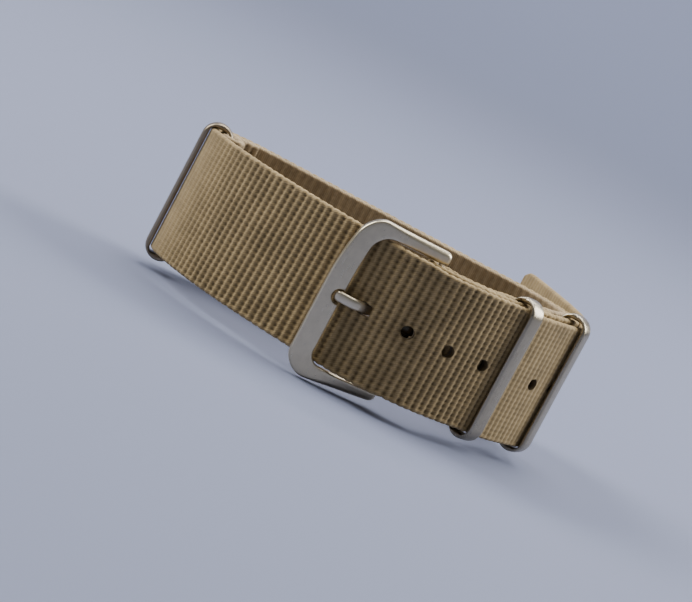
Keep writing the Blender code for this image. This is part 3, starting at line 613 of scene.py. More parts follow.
    def lay_layers(self, inward: Vector, leg_start: Vector) -> None:
        """Works out the inner layers beside the loop.

        Args:
            inward: the inner side's direction at the spring bar.
            leg_start: the middle of the webbing in front of the spring bar.
        """
        pocket = self.ring_strip / 2 + self.ring_travel + self.pocket_clearance
        pocket_step = 2 * self.half_web + self.ring_clearance + self.ring_thickness + self.pocket_clearance
        rise = pocket_step - self.layer_step
        front, side, left = self.front_on_loop, self.side_on_loop, self.left_on_loop
        self.seam_buckle = self.tack_from_bar
        self.seam_middle = (front + side) / 2
        self.seam_side = side + self.tack_beside_ring
        self.seam_left = left - self.tack_beside_ring
        from_bar = step_between(2 * self.fold_radius, self.layer_step, 0.0,
                                self.seam_buckle - self.settled_before_tack)
        into = step_between(0.0, rise, front - pocket - self.ramp, front - pocket)
        out = step_between(0.0, rise, front + pocket, front + pocket + self.ramp)
        return_end = self.seam_middle + self.lap / 2
        self.return_depth = lambda s: from_bar(s) + into(s) - out(s)
        past = step_between(2 * self.layer_step, pocket_step, return_end, side - pocket)
        leave = step_between(0.0, rise, side + pocket, side + pocket + self.ramp)
        self.short_depth = lambda s: past(s) - leave(s)
        radius = self.ring_thickness / 2 + self.fold_pocket_clearance + self.half_web
        fold_at = left + self.ring_strip / 2 - self.ring_thickness / 2 + self.pocket_clearance
        settled = left - self.ring_strip / 2 - self.pocket_clearance
        self.flap_depth = step_between(2 * self.layer_step, self.layer_step + 2 * radius,
                                       settled - self.ramp, settled)
        back = self.loop.beside(0.0, return_end, self.return_depth)[::-1]
        self.main = Route(back + half_turn(self.bar, inward, self.fold_radius)
                          + [Vector(p) for p in (*self.loop.at, *self.tail.at)])
        point, _, normal = self.loop.frame(fold_at)
        centre = point + normal * (self.layer_step + radius)
        flap = self.loop.beside(self.seam_left - self.flap_beyond_tack, fold_at, self.flap_depth)[::-1]
        self.short = Route(self.loop.beside(self.seam_middle - self.lap / 2, fold_at, self.short_depth)
                           + half_turn(centre, -normal, radius) + flap)
        self.leg_on_main = self.main.nearest(leg_start)
        self.tail_on_main = self.main.length - self.tail.length


# Mesh tools


def as_mesh(bm: bmesh.types.BMesh, name: str) -> bpy.types.Mesh:
    """Turns a bmesh into a mesh and frees it.

    Args:
        bm: the bmesh.
        name: the mesh's name.

    Returns:
        The mesh.
    """
    mesh = bpy.data.meshes.new(name)
    bm.to_mesh(mesh)
    bm.free()
    return mesh


def link(name: str, data: bpy.types.ID) -> bpy.types.Object:
    """Puts a new object in the scene."""
    made = bpy.data.objects.new(name, data)
    bpy.context.collection.objects.link(made)
    return made


def coordinates(mesh: bpy.types.Mesh) -> np.ndarray:
    """All vertex coordinates of a mesh."""
    co = np.empty(len(mesh.vertices) * 3)
    mesh.vertices.foreach_get("co", co)
    return co.reshape(-1, 3)


def move(mesh: bpy.types.Mesh, *columns: np.ndarray) -> None:
    """Moves all vertices of a mesh to new X, Y and Z, or to columns that hold them."""
    mesh.vertices.foreach_set("co", np.column_stack(columns).ravel())
    mesh.update()


def store(mesh: bpy.types.Mesh, name: str, values: np.ndarray) -> None:
    """Stores a number or a vector for each vertex under a name."""
    kind, key = ('FLOAT', "value") if values.ndim == 1 else ('FLOAT_VECTOR', "vector")
    mesh.attributes.new(name, kind, 'POINT').data.foreach_set(key, values.ravel())


def tube(columns: int, rows: int, name: str) -> tuple[bpy.types.Mesh, np.ndarray, np.ndarray]:
    """A flat grid that is to be wrapped into a tube.

    Args:
        columns: faces along the tube.
        rows: faces round the tube.
        name: the mesh's name.

    Returns:
        The mesh, and for each vertex its column and its row, the last row being the first again.
    """
    bm = bmesh.new()
    bmesh.ops.create_grid(bm, x_segments=columns, y_segments=rows, size=0.5)
    bmesh.ops.translate(bm, verts=bm.verts, vec=(0.5, 0.5, 0.0))
    mesh = as_mesh(bm, name)
    along, round_it, _ = coordinates(mesh).T
    return mesh, np.rint(along * columns).astype(int), np.rint(round_it * rows).astype(int) % rows


def spun(profile: list[Point], centre: Point, base: float, steps: int, name: str,
         closed: bool = False) -> bpy.types.Mesh:
    """Turns a profile about an upright axis.

    Args:
        profile: radius and height points.
        centre: the axis on the plan.
        base: the height from which the profile's heights count.
        steps: how many faces go round.
        name: the mesh's name.
        closed: whether the profile closes on itself.

    Returns:
        The mesh.
    """
    x, y = centre
    bm = bmesh.new()
    verts = [bm.verts.new((x + r, y, base + z)) for r, z in profile]
    line = verts + verts[:1] if closed else verts
    edges = [bm.edges.new(pair) for pair in zip(line, line[1:])]
    bmesh.ops.spin(bm, geom=verts + edges, cent=(x, y, 0.0), axis=(0.0, 0.0, 1.0), angle=math.tau,
                   steps=steps, use_merge=True)
    return as_mesh(bm, name)


def close_up(mesh: bpy.types.Mesh, distance: float = 2e-6) -> None:
    """Merges doubles, caps open ends and turns all faces outward.

    Args:
        mesh: the mesh, changed in place.
        distance: the merging distance.
    """
    bm = bmesh.new()
    bm.from_mesh(mesh)
    bmesh.ops.remove_doubles(bm, verts=bm.verts, dist=distance)
    bmesh.ops.dissolve_degenerate(bm, edges=bm.edges, dist=1e-8)
    open_edges = [e for e in bm.edges if e.is_boundary]
    if open_edges:
        bmesh.ops.holes_fill(bm, edges=open_edges, sides=0)
    bmesh.ops.recalc_face_normals(bm, faces=bm.faces)
    if bm.calc_volume(signed=True) < 0.0:
        bmesh.ops.reverse_faces(bm, faces=bm.faces)
    bm.to_mesh(mesh)
    bm.free()


def place(mesh: bpy.types.Mesh, name: str, body: Body, finish: bpy.types.Material, slot: Slot,
          nodes: tuple[str, ...] = (), sharp: float = 50.0) -> bpy.types.Object:
    """Links a finished mesh as a piece that rides on a body.

    Args:
        mesh: the mesh, in the row frame.
        name: the piece's name.
        body: the body that it rides on.
        finish: its material.
        slot: the record's slot that the finish belongs to; not used.
        nodes: the CAD nodes that it replaces.
        sharp: the angle in degrees above which an edge stays sharp.

    Returns:
        The piece.
    """
    mesh.materials.clear()
    mesh.materials.append(finish)
    mesh.shade_smooth()
    mesh.set_sharp_from_angle(angle=math.radians(sharp))
    piece = link(name, mesh)
    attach(piece, body.value)
    if nodes:
        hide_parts(*nodes)
    log.info("%s: %d faces", name, len(mesh.polygons))
    return piece


def cut(mesh: bpy.types.Mesh, cutters: bpy.types.Mesh) -> bpy.types.Mesh:
    """The mesh after an exact Boolean difference.

    Args:
        mesh: the blank.
        cutters: closed shapes to take away.

    Returns:
        The new mesh.
    """
    blank, cutter = link("blank", mesh), link("cutter", cutters)
    step = blank.modifiers.new("cut", 'BOOLEAN')
    step.operation = 'DIFFERENCE'
    step.object = cutter
    step.solver = 'EXACT'
    graph = bpy.context.evaluated_depsgraph_get()
    result = bpy.data.meshes.new_from_object(blank.evaluated_get(graph))
    for made in (blank, cutter):
        bpy.data.objects.remove(made, do_unlink=True)
    return result


def dome(away: np.ndarray, length: float, least: float = 0.0) -> np.ndarray:
    """The share of the full size at distances from a rounded end of some length."""
    t = np.clip(away / length, 0.0, 1.0)
    return np.sqrt(np.clip(1.0 - (1.0 - t) ** 2, least, 1.0))


def bell(a: np.ndarray, reach_a: float, b: np.ndarray, reach_b: float) -> np.ndarray:
    """A round hump that is 1 where both a and b are 0."""
    return np.exp(-(a / reach_a) ** 2 - (b / reach_b) ** 2)


# Webbing


@dataclass
class Detail:
    """How finely a stretch of webbing is meshed."""

    per_rib: int
    per_yarn: int
    per_yarn_inside: int = 3


@dataclass
class Hole:
    """A hole through the webbing; its far wall may flare towards the inner face."""

    at: float
    half_length: float
    half_height: float
    corner: float
    slant: float = 0.0
    flare: float = 0.0


@dataclass
class Ribs:
    """The relief of the weave as a function of length and height, and the painted shade of its hollows."""

    pitch: float = 0.0012157
    crest: float = 0.00061
    depth: float = 0.00022
    squeeze: float = 2.6
    squeeze_between: float = 0.35
    sways: Table = ((0.022, 1100.0), (0.016, 2700.0))
    drift: float = 0.03
    yarn_pitch: float = 0.00081
    yarn_offset: float = 0.35
    saddle: float = 0.16
    bridge: float = 0.3
    pit_depth: float = 0.00007
    pit_length: float = 0.00026
    pit_height: float = 0.00021
    pit_shift_along: float = 0.00003
    pit_shift_up: float = 0.00006
    recess_depth: float = 1.3
    recess_inset: float = 0.00058
    recess_length: float = 0.00036
    recess_height: float = 0.00017
    bead: float = 0.000026
    width: float = 0.0200
    margin: float = 0.00085
    margin_fade: float = 0.00035
    scallop: float = 0.00016
    softness: Point = (0.0, 0.75)
    soft_filling: float = 0.85
    soft_share: float = 0.66
    hazy: Table = ((0.0, 0.0),)
    grooves: Table = ((-0.0058785, -5.0), (0.2433400, 200.0))
    leans: Table = ((0.0, 0.0),)
    # Painted shadows: dark spots, each given by a length, a height and a reach.
    painted_shadows: tuple[Mark, ...] = ()
    seed: int = 7

    def __post_init__(self) -> None:
        """Draws the small irregularities of each rib and each pit."""
        rng = np.random.default_rng(self.seed)
        self.wander = rng.uniform(-1.0, 1.0, (512, 5))
        self.jitter = rng.uniform(-1.0, 1.0, (512, 64, 3))

    def turns(self, s: np.ndarray) -> np.ndarray:
        """The running number of ribs at each length, whole in a groove."""
        return np.interp(s, *zip(*self.grooves))

    def length_of(self, turns: np.ndarray) -> np.ndarray:
        """The length at which each running number of ribs is met."""
        lengths, numbers = zip(*self.grooves)
        return np.interp(turns, numbers, lengths)

    def groove_before(self, s: float) -> float:
        """The last groove at or before a length."""
        return float(self.length_of(self.number_before(s)))

    def number_before(self, s: float) -> int:
        """The running number of the last groove at or before a length."""
        return math.floor(float(self.turns(s)) + 1e-6)

    def lean(self, s: np.ndarray) -> np.ndarray:
        """How far the ribs lean along the strap at each length, as a share of the height."""
        return np.interp(s, *zip(*self.leans))

    def relief(self, s: np.ndarray, z: np.ndarray, face: int) -> tuple[np.ndarray, np.ndarray]:
        """The half thickness and the share of crest.

        Args:
            s: lengths along the strap.
            z: heights about the strap's middle.
            face: 0 for the outer face and 1 for the inner face.

        Returns:
            The half thickness in metres, and the colour's share of crest, 0 in a pit to 1 on a crest, which
            paints shade into pits, recesses and grooves.
        """
        turns = self.turns(s)
        groove = np.rint(turns).astype(int)
        aside = turns - groove
        rib = (groove + 37 * face) % len(self.wander)
        draw = self.wander[rib].T
        sway = sum(size * np.sin(z * rate + 3.0 * draw[i]) for i, (size, rate) in enumerate(self.sways))
        off = aside + (sway + self.drift * draw[2]) * np.cos(math.pi * aside) ** 2
        yarns = z / self.yarn_pitch + self.yarn_offset
        row = np.rint(yarns).astype(int)
        knot = self.jitter[rib, row % 64].T
        between = 0.5 - 0.5 * np.cos(math.tau * yarns)
        up = np.abs(z) - self.width / 2
        edge = eased(np.clip((up + self.margin) / self.margin_fade, 0.0, 1.0))
        crown = np.abs(np.sin(math.pi * off)) ** (self.squeeze - self.squeeze_between * between)
        along = off * self.pitch
        pit = bell(along + self.pit_shift_along * knot[2], self.pit_length,
                   (yarns - row) * self.yarn_pitch - self.pit_shift_up * knot[0], self.pit_height)
        pit *= (0.85 + 0.30 * knot[1]) * (1.0 - edge)
        odd = groove % 2
        recess = odd * bell(along, self.recess_length, up + self.recess_inset, self.recess_height)
        filling = self.saddle * between * (1.0 - edge) + self.bridge * (2 - odd) * edge
        filled = np.clip(crown + (1.0 - crown) * filling, 0.0, 1.0)
        relief = self.depth * (1.0 - filled) + self.pit_depth * (pit + self.recess_depth * recess)
        bead = ((between - 0.5) * (1.0 + 0.5 * knot[1]) + 0.25 * knot[0]) * crown * (1.0 - edge)
        # Painted shade and highlight: pits, recesses and grooves get darker colour, and the yarn is lighter
        # where its beads bulge.
        share = 0.18 + 0.82 * filled * (1.0 - 0.06 * draw[3]) - 0.14 * pit - 0.4 * recess
        share = np.clip(share + 0.16 * bead, 0.0, 1.0)
        # Painted shadow: the colour is darkened round each spot.
        for at, height, reach in self.painted_shadows:
            share = share * (1.0 - np.exp(-(((s - at) / reach) ** 2 + ((z - height) / reach) ** 2) ** 2))
        soft = 1.0 - (1.0 - self.softness[face]) * (1.0 - np.interp(s, *zip(*self.hazy)))
        half = self.crest - relief + self.bead * bead + self.soft_filling * soft * relief
        return half, share * (1.0 - soft) + self.soft_share * soft

    def selvedge(self, s: np.ndarray) -> np.ndarray:
        """How far the selvedge stands out: a loop at each rib, every second one a little fuller.

        Args:
            s: lengths along the strap.

        Returns:
            Metres, below 0 between the loops.
        """
        turns = self.turns(s)
        loop = np.abs(np.sin(math.pi * turns)) ** 0.7
        pair = 0.5 + 0.5 * np.cos(math.pi * turns)
        return self.scallop * (0.75 * loop + 0.25 * pair - 0.62)


@dataclass
class Webbing:
    """One strap's worth of ribbed webbing laid along a route."""

    route: Route
    middle: float
    finish: bpy.types.Material
    slot: Slot
    ribs: Ribs = field(default_factory=Ribs)
    tail_from: float = 1.0
    tail_narrowing: float = 0.0002
    taper: float = 0.0030
    edge: float = 0.00042
    selvedge_reach: float = 0.0012
    tip_corner: float = 0.0026
    tip_rounding: float = 0.0009
    tip_melt: float = 0.0016
    tip_melt_fade: float = 0.0012
    melted_share: float = 0.45
    start_rounding: float = 0.0006
    crowding: float = 0.55
    least_row: float = 0.00003
    punch: float = 0.0050
    hole_drop: float = 0.00004
    rises: Table = ((0.0, 0.0),)

    def stations(self, start: float, end: float, per_rib: int) -> np.ndarray:
        """Lengths at which the mesh has a row of points, closer together in the grooves.

        Args:
            start: the first length.
            end: the last length.
            per_rib: how many rows each rib has.

        Returns:
            The lengths in order.
        """
        even = np.linspace(0.0, 1.0, per_rib + 1)
        shares = self.crowding * (0.5 - 0.5 * np.cos(math.pi * even)) + (1.0 - self.crowding) * even
        first = self.ribs.number_before(start)
        count = math.ceil(float(self.ribs.turns(end)) - first)
        numbers = (first + np.arange(count)[:, None] + shares[None, :-1]).ravel()
        marks = self.ribs.length_of(np.append(numbers, first + count))
        inside = marks[(marks > start + self.least_row) & (marks < end - self.least_row)]
        return np.concatenate([[start], inside, [end]])

    def outline(self, detail: Detail) -> tuple[np.ndarray, np.ndarray]:
        """The points round the section.

        Args:
            detail: how finely the webbing is meshed.

        Returns:
            Their heights, and their shares of the half thickness, below 0 on the outer face.
        """
        flat = self.ribs.width / 2 - self.edge
        outer, inner = (np.linspace(-flat, flat, 2 * round(flat / self.ribs.yarn_pitch * count) + 1)
                        for count in (detail.per_yarn, detail.per_yarn_inside))
        turn = np.radians(np.linspace(15.0, 165.0, 11))
        arc = flat + self.edge * np.sin(turn)
        heights = np.concatenate([outer, arc, inner[::-1], -arc])
        shares = np.concatenate([-np.ones(len(outer)), -np.cos(turn), np.ones(len(inner)), np.cos(turn)])
        return heights, shares

    def strip(self, start: float, end: float, detail: Detail, round_start: bool,
              free_end: bool) -> bpy.types.Mesh:
        """A flat stretch of webbing with its relief, its weave and relief stored as attributes.

        Args:
            start: the length at which it starts.
            end: the length at which it ends.
            detail: how finely it is meshed.
            round_start: whether the first edge is melted round.
            free_end: whether it ends in rounded corners and a melted edge.

        Returns:
            The flat mesh: X along, Y depth, Z height.
        """
        marks = self.stations(start, end, detail.per_rib)
        corner, half_width = self.tip_corner, self.ribs.width / 2
        if free_end:
            sweep = end - corner * (1.0 - np.sin(np.linspace(0.0, math.pi / 2, 22)))
            marks = np.concatenate([marks[marks < end - corner], sweep])
        heights, shares = self.outline(detail)
        mesh, column, row = tube(len(marks) - 1, len(heights), "strip")
        s, z, share = marks[column], heights[row], shares[row]
        half, crest = (np.where(share > 1e-9, inner, outer) for outer, inner in
                       zip(self.ribs.relief(s, z, 0), self.ribs.relief(s, z, 1)))
        wide = 1.0
        if free_end:
            reach = np.clip((s - (end - corner)) / corner, 0.0, 1.0)
            wide = 1.0 - corner * (1.0 - np.sqrt(1.0 - reach ** 2)) / half_width
            half = half * np.sqrt(np.clip((end - s) / self.tip_rounding, 0.0, 1.0) * 0.9 + 0.1 * (s < end))
            melted = np.clip((s - (end - self.tip_melt)) / self.tip_melt_fade, 0.0, 1.0)
            crest = crest * (1.0 - melted) + self.melted_share * melted
        if round_start:
            half = half * np.sqrt(np.clip((s - start) / self.start_rounding, 0.05, 1.0))
        outward = np.clip((np.abs(z) - half_width) / self.selvedge_reach + 1.0, 0.0, 1.0)
        flat = np.stack([s + self.ribs.lean(s) * z, half * share,
                         z * wide + np.sign(z) * self.ribs.selvedge(s) * outward], 1)
        move(mesh, flat)
        store(mesh, "weave", flat)
        # The relief share carries the painted shade of the hollows.
        store(mesh, "relief", crest)
        return mesh

    def pierce(self, mesh: bpy.types.Mesh, holes: list[Hole]) -> bpy.types.Mesh:
        """Cuts holes through a flat strip.

        Args:
            mesh: the flat strip, closed.
            holes: where and how large they are.

        Returns:
            The pierced strip.
        """
        bm = bmesh.new()
        for hole in holes:
            shape = bmesh.ops.create_cube(bm, size=2.0)["verts"]
            bmesh.ops.scale(bm, vec=(hole.half_length, self.punch / 2, hole.half_height), verts=shape)
            along = {e for v in shape for e in v.link_edges if abs(e.verts[0].co.y - e.verts[1].co.y) > 1e-6}
            bevelled = bmesh.ops.bevel(bm, geom=list(along), offset=hole.corner * 0.999, segments=8,
                                       profile=0.5, affect='EDGES', material=-1)
            shape = list({v for f in bevelled["faces"] for v in f.verts})
            for v in shape:
                if v.co.x > 0.0:
                    v.co.x += hole.flare * (v.co.y + self.ribs.crest)
            turn = Matrix.Translation((hole.at, 0.0, -self.hole_drop)) @ Matrix.Rotation(hole.slant, 4, 'Z')
            bmesh.ops.transform(bm, verts=shape, matrix=turn)
        bmesh.ops.recalc_face_normals(bm, faces=bm.faces)
        mesh = cut(mesh, as_mesh(bm, "punch"))
        bm = bmesh.new()
        bm.from_mesh(mesh)
        stray = [v for v in bm.verts if abs(v.co.y) > 2.0 * self.ribs.crest]
        bmesh.ops.delete(bm, geom=stray, context='VERTS')
        bm.to_mesh(mesh)
        bm.free()
        return mesh

    def bend(self, mesh: bpy.types.Mesh) -> None:
        """Lays a flat strip along the route.

        Args:
            mesh: the strip, changed in place.
        """
        s, depth, z = coordinates(mesh).T
        point, _, normal = self.route.read(s)
        narrow = self.tail_narrowing / (self.ribs.width / 2)
        narrow *= eased(np.clip((s - self.tail_from) / self.taper + 1.0, 0.0, 1.0))
        rise = np.interp(s, *zip(*self.rises))
        move(mesh, point + normal * depth[:, None], self.middle + z * (1.0 - narrow) + rise)

    def lay(self, name: str, start: float, end: float, detail: Detail, nodes: tuple[str, ...] = (),
            holes: list[Hole] | None = None, round_start: bool = False, free_end: bool = False) -> None:
        """Builds one stretch of webbing as a piece.

        Args:
            name: the piece's name.
            start: the length at which it starts.
            end: the length at which it ends.
            detail: how finely it is meshed.
            nodes: the CAD nodes that it replaces.
            holes: the holes that pierce it.
            round_start: whether its first edge is melted round.
            free_end: whether it ends in rounded corners and a melted edge.
        """
        mesh = self.strip(start, end, detail, round_start, free_end)
        close_up(mesh)
        if holes:
            mesh = self.pierce(mesh, holes)
        self.bend(mesh)
        place(mesh, name, Body.STRAP, self.finish, self.slot, nodes, sharp=180.0)


@dataclass
class Straps:
    """Both straps, stretch by stretch, cut where a ring or the buckle hides the cut."""

    plan: StrapPlan
    nylon: bpy.types.Material
    # The nylon copy with colours tuned to the loop's shaded inside.
    shade_tuned_lining: bpy.types.Material
    hole_radius: float = 0.00094
    hole_pitch: float = 0.00635
    hole_shifts: tuple[float, ...] = (-0.00026, -0.00011, 0.00034, -0.0001, 0.0005, 0.0003, 0.0)
    hole_margin: float = 0.002
    prong_at: Mark = (-0.5157, -0.3062, 222.0)
    prong_lead: float = 0.0003
    prong_setback: float = 0.00042
    notch_inset: float = 0.0012
    cut_before_tail: float = 0.0012
    narrow_after: float = 0.0120
    grooves: Table = ((-0.0056785, -5.0), (0.137803, 113.0), (0.143500, 118.0), (0.149598, 123.0),
                      (0.156933, 129.0), (0.164238, 135.0), (0.171790, 141.0), (0.174220, 143.0),
                      (0.177786, 146.0), (0.181233, 149.0), (0.185747, 153.0), (0.189187, 156.0),
                      (0.194968, 161.0), (0.253618, 212.0))
    leans: Table = ((0.1300, 0.0), (0.1375, 0.018), (0.1480, 0.038), (0.1560, 0.046), (0.1644, 0.030),
                    (0.1700, 0.010), (0.1820, 0.018), (0.1960, 0.010), (0.2050, 0.0))

    def __post_init__(self) -> None:
        """Works out where the rings stand on the main strap."""
        plan = self.plan
        self.left_ring = plan.leg_on_main + plan.left_on_loop
        self.front_ring = plan.tail_on_main + plan.front_at
        self.side_ring = plan.tail_on_main + plan.side_at

    def hazy(self) -> Table:
        """Where the ribs are flattened and even.

        Returns:
            Lengths on the main strap, each with 0 for crisp to 1.
        """
        left, front, side = self.left_ring, self.front_ring, self.side_ring
        return ((left - 0.001, 0.0), (left - 0.0002, 1.0), (left + 0.0040, 1.0), (left + 0.0062, 0.75),
                (left + 0.010, 0.35), (left + 0.015, 0.0), (front, 0.0), (front + 0.002, 0.6), (side, 0.6),
                (side + 0.006, 0.4))

    def rises(self) -> Table:
        """How much higher than its middle the main strap stands.

        Returns:
            Lengths on the main strap, each with a height.
        """
        front, side = self.front_ring, self.side_ring
        return ((front - 0.003, 0.0), (front, -0.0001), (front + 0.004, -0.0003), (side, -0.0003),
                (side + 0.002, -0.0001), (side + 0.005, 0.0005), (side + 0.008, 0.0009),
                (side + 0.014, 0.00095), (self.plan.main.length, 0.0006))

    def holes(self) -> list[Hole]:
        """The holes of the tail, the tongue's first.

        Returns:
            The holes in order.
        """
        plan = self.plan
        crossing, direction = plan.frame_pose(*self.prong_at)
        on_tail = plan.tail.nearest(crossing)
        point, way, normal = plan.tail.frame(on_tail)
        slant = math.atan2(direction.dot(way), -direction.dot(normal))
        shift = (crossing - point).dot(normal) * math.tan(slant) + self.prong_lead
        first, r = plan.tail_on_main + on_tail + shift, self.hole_radius
        return [Hole(first - self.prong_setback, 0.00082, 0.00088, 0.00055, slant, 0.22)] + [
            Hole(first + i * self.hole_pitch + shift, r, r, r) for i, shift in enumerate(self.hole_shifts, 1)]

    def build(self) -> None:
        """Builds every stretch of webbing."""
        plan = self.plan
        # The webbing under the buckle's notch gets a painted shadow.
        notch = plan.main.nearest(plan.frame_place(plan.frame_length - self.notch_inset, 0.0))
        ribs = Ribs(hazy=self.hazy(), grooves=self.grooves, leans=self.leans,
                    painted_shadows=((notch, -0.00012, 0.0021),))
        main = Webbing(plan.main, plan.middle, self.nylon, Slot.WEBBING, ribs,
                       tail_from=plan.tail_on_main + self.narrow_after, rises=self.rises())
        leg = plan.leg_on_main
        ends = (leg + plan.side_on_loop, self.left_ring, plan.tail_on_main - self.cut_before_tail,
                self.side_ring)
        back, front_left, tail, free_end = (ribs.groove_before(s) for s in ends)
        fold = math.pi * plan.fold_radius
        slot = Hole(leg - fold / 2 - 0.0004, fold / 2 + 0.0018, 0.00125, 0.0005)
        holes = self.holes()
        last = free_end - self.hole_margin
        fine, plain = Detail(8, 6), Detail(6, 3)
        main.lay("strap_buckle_leg", 0.0, back, plain, ("main_strap",), [slot], round_start=True)
        main.lay("strap_back", back, front_left, plain)
        main.lay("strap_front_left", front_left, tail, fine)
        main.lay("strap_tail", tail, free_end, fine, holes=[h for h in holes if h.at < last])
        main.lay("strap_free_end", free_end, plan.main.length, fine, holes=[h for h in holes if h.at > last],
                 free_end=True)
        # The short strap takes the copy of the nylon tuned to the shaded inside: painted shade.
        short = Webbing(plan.short, plan.middle, self.shade_tuned_lining, Slot.INNER, Ribs(seed=11))
        short.lay("strap_short", 0.0, plan.short.length, plain, ("short_strap",), round_start=True)


# Steel pieces


def rounded(corners: list[Point], radii: Point, counts: tuple[int, ...], arc: int) -> np.ndarray:
    """Points of an open line of straight stretches with an arc at each inner corner.

    Args:
        corners: the line's corners, both ends included.
        radii: the arc's radius at each inner corner.
        counts: how many points each straight stretch has.
        arc: how many points each arc has.

    Returns:
        The points in order.
    """
    at = [np.array(c) for c in corners]
    starts, ends, arcs = [at[0]], [], []
    for before, corner, after, radius in zip(at, at[1:], at[2:], radii):
        into = (corner - before) / np.hypot(*(corner - before))
        out = (after - corner) / np.hypot(*(after - corner))
        half = 0.5 * math.acos(float(np.clip(into @ out, -1.0, 1.0)))
        reach = radius * math.tan(half)
        side = out - into * (into @ out)
        side /= np.hypot(*side)
        centre = corner - into * reach + side * radius
        angles = np.linspace(0.0, 2 * half, arc + 2)[1:-1]
        arcs.append([centre - side * (radius * math.cos(a)) + into * (radius * math.sin(a)) for a in angles])
        ends.append(corner - into * reach)
        starts.append(corner + out * reach)
    points = []
    for start, end, count, bend in zip(starts, ends + [at[-1]], counts, arcs + [[]]):
        points += [start + (end - start) * t for t in np.linspace(0.0, 1.0, count)] + bend
    return np.array(points)


def box_section(corner_points: int, flat_points: int) -> tuple[np.ndarray, ...]:
    """The points round a box with rounded corners.

    A point lies at sx * (half width - radius) + radius * c, and at the same with sy and s.

    Args:
        corner_points: how many points each corner has.
        flat_points: how many points lie between two corners.

    Returns:
        The arrays sx, sy, c and s.
    """
    rows = []
    for sx, sy, start in ((1, 1, 0.0), (-1, 1, 90.0), (-1, -1, 180.0), (1, -1, 270.0)):
        for angle in np.radians(np.linspace(start, start + 90.0, corner_points)):
            rows.append((sx, sy, math.cos(angle), math.sin(angle)))
        c, s = round(rows[-1][2]), round(rows[-1][3])
        for share in np.linspace(1.0, -1.0, flat_points + 2)[1:-1]:
            rows.append((sx * share, sy, c, s) if sx == sy else (sx, sy * share, c, s))
    return tuple(np.array(column) for column in zip(*rows))


@dataclass
class Sweep:
    """A bar that runs between an inner and an outer line in a plane, with rounded edges."""

    inner: np.ndarray
    outer: np.ndarray
    half: float
    rounding: np.ndarray | float
    closed: bool = False
    dome: float = 0.0
    taper: float = 0.0
    inner_share: float = 1.0
    fullest: float = 0.985
    corner_points: int = 7
    flat_points: int = 3

    def shrink(self, middle: np.ndarray) -> np.ndarray:
        """How far each section is drawn together towards the rounded ends.

        Args:
            middle: the bar's middle line.

        Returns:
            A share for each of its points.
        """
        if not self.taper:
            return np.ones(len(middle))
        marks = lengths_along(middle)
        return dome(marks, self.taper, 0.0004) * dome(marks[-1] - marks, self.taper, 0.0004)

    def mesh(self, name: str) -> bpy.types.Mesh:
        """Builds the bar with the lines' plane on X and Y and its thickness on Z.

        Args:
            name: the mesh's name.

        Returns:
            The mesh, open at its ends unless it is closed into a ring.
        """
        sx, sy, c, s = box_section(self.corner_points, self.flat_points)
        count = len(self.inner)
        mesh, column, row = tube(count if self.closed else count - 1, len(sx), name)
        i = column % count
        middle, across = 0.5 * (self.outer + self.inner), 0.5 * (self.outer - self.inner)
        b = np.hypot(*across.T)
        r = np.minimum(self.rounding, self.fullest * np.minimum(b, self.half))[i]
        r = r * np.where(sx[row] < 0.0, self.inner_share, 1.0)
        x = sx[row] * (b[i] - r) + r * c[row]
        z = sy[row] * (self.half - r) + r * s[row]
        x += np.where(x > 0.0, -self.dome * (z / self.half) ** 2, 0.0)
        shrink = self.shrink(middle)[i]
        move(mesh, middle[i] + across[i] / b[i][:, None] * (x * shrink)[:, None], z * shrink)
        return mesh


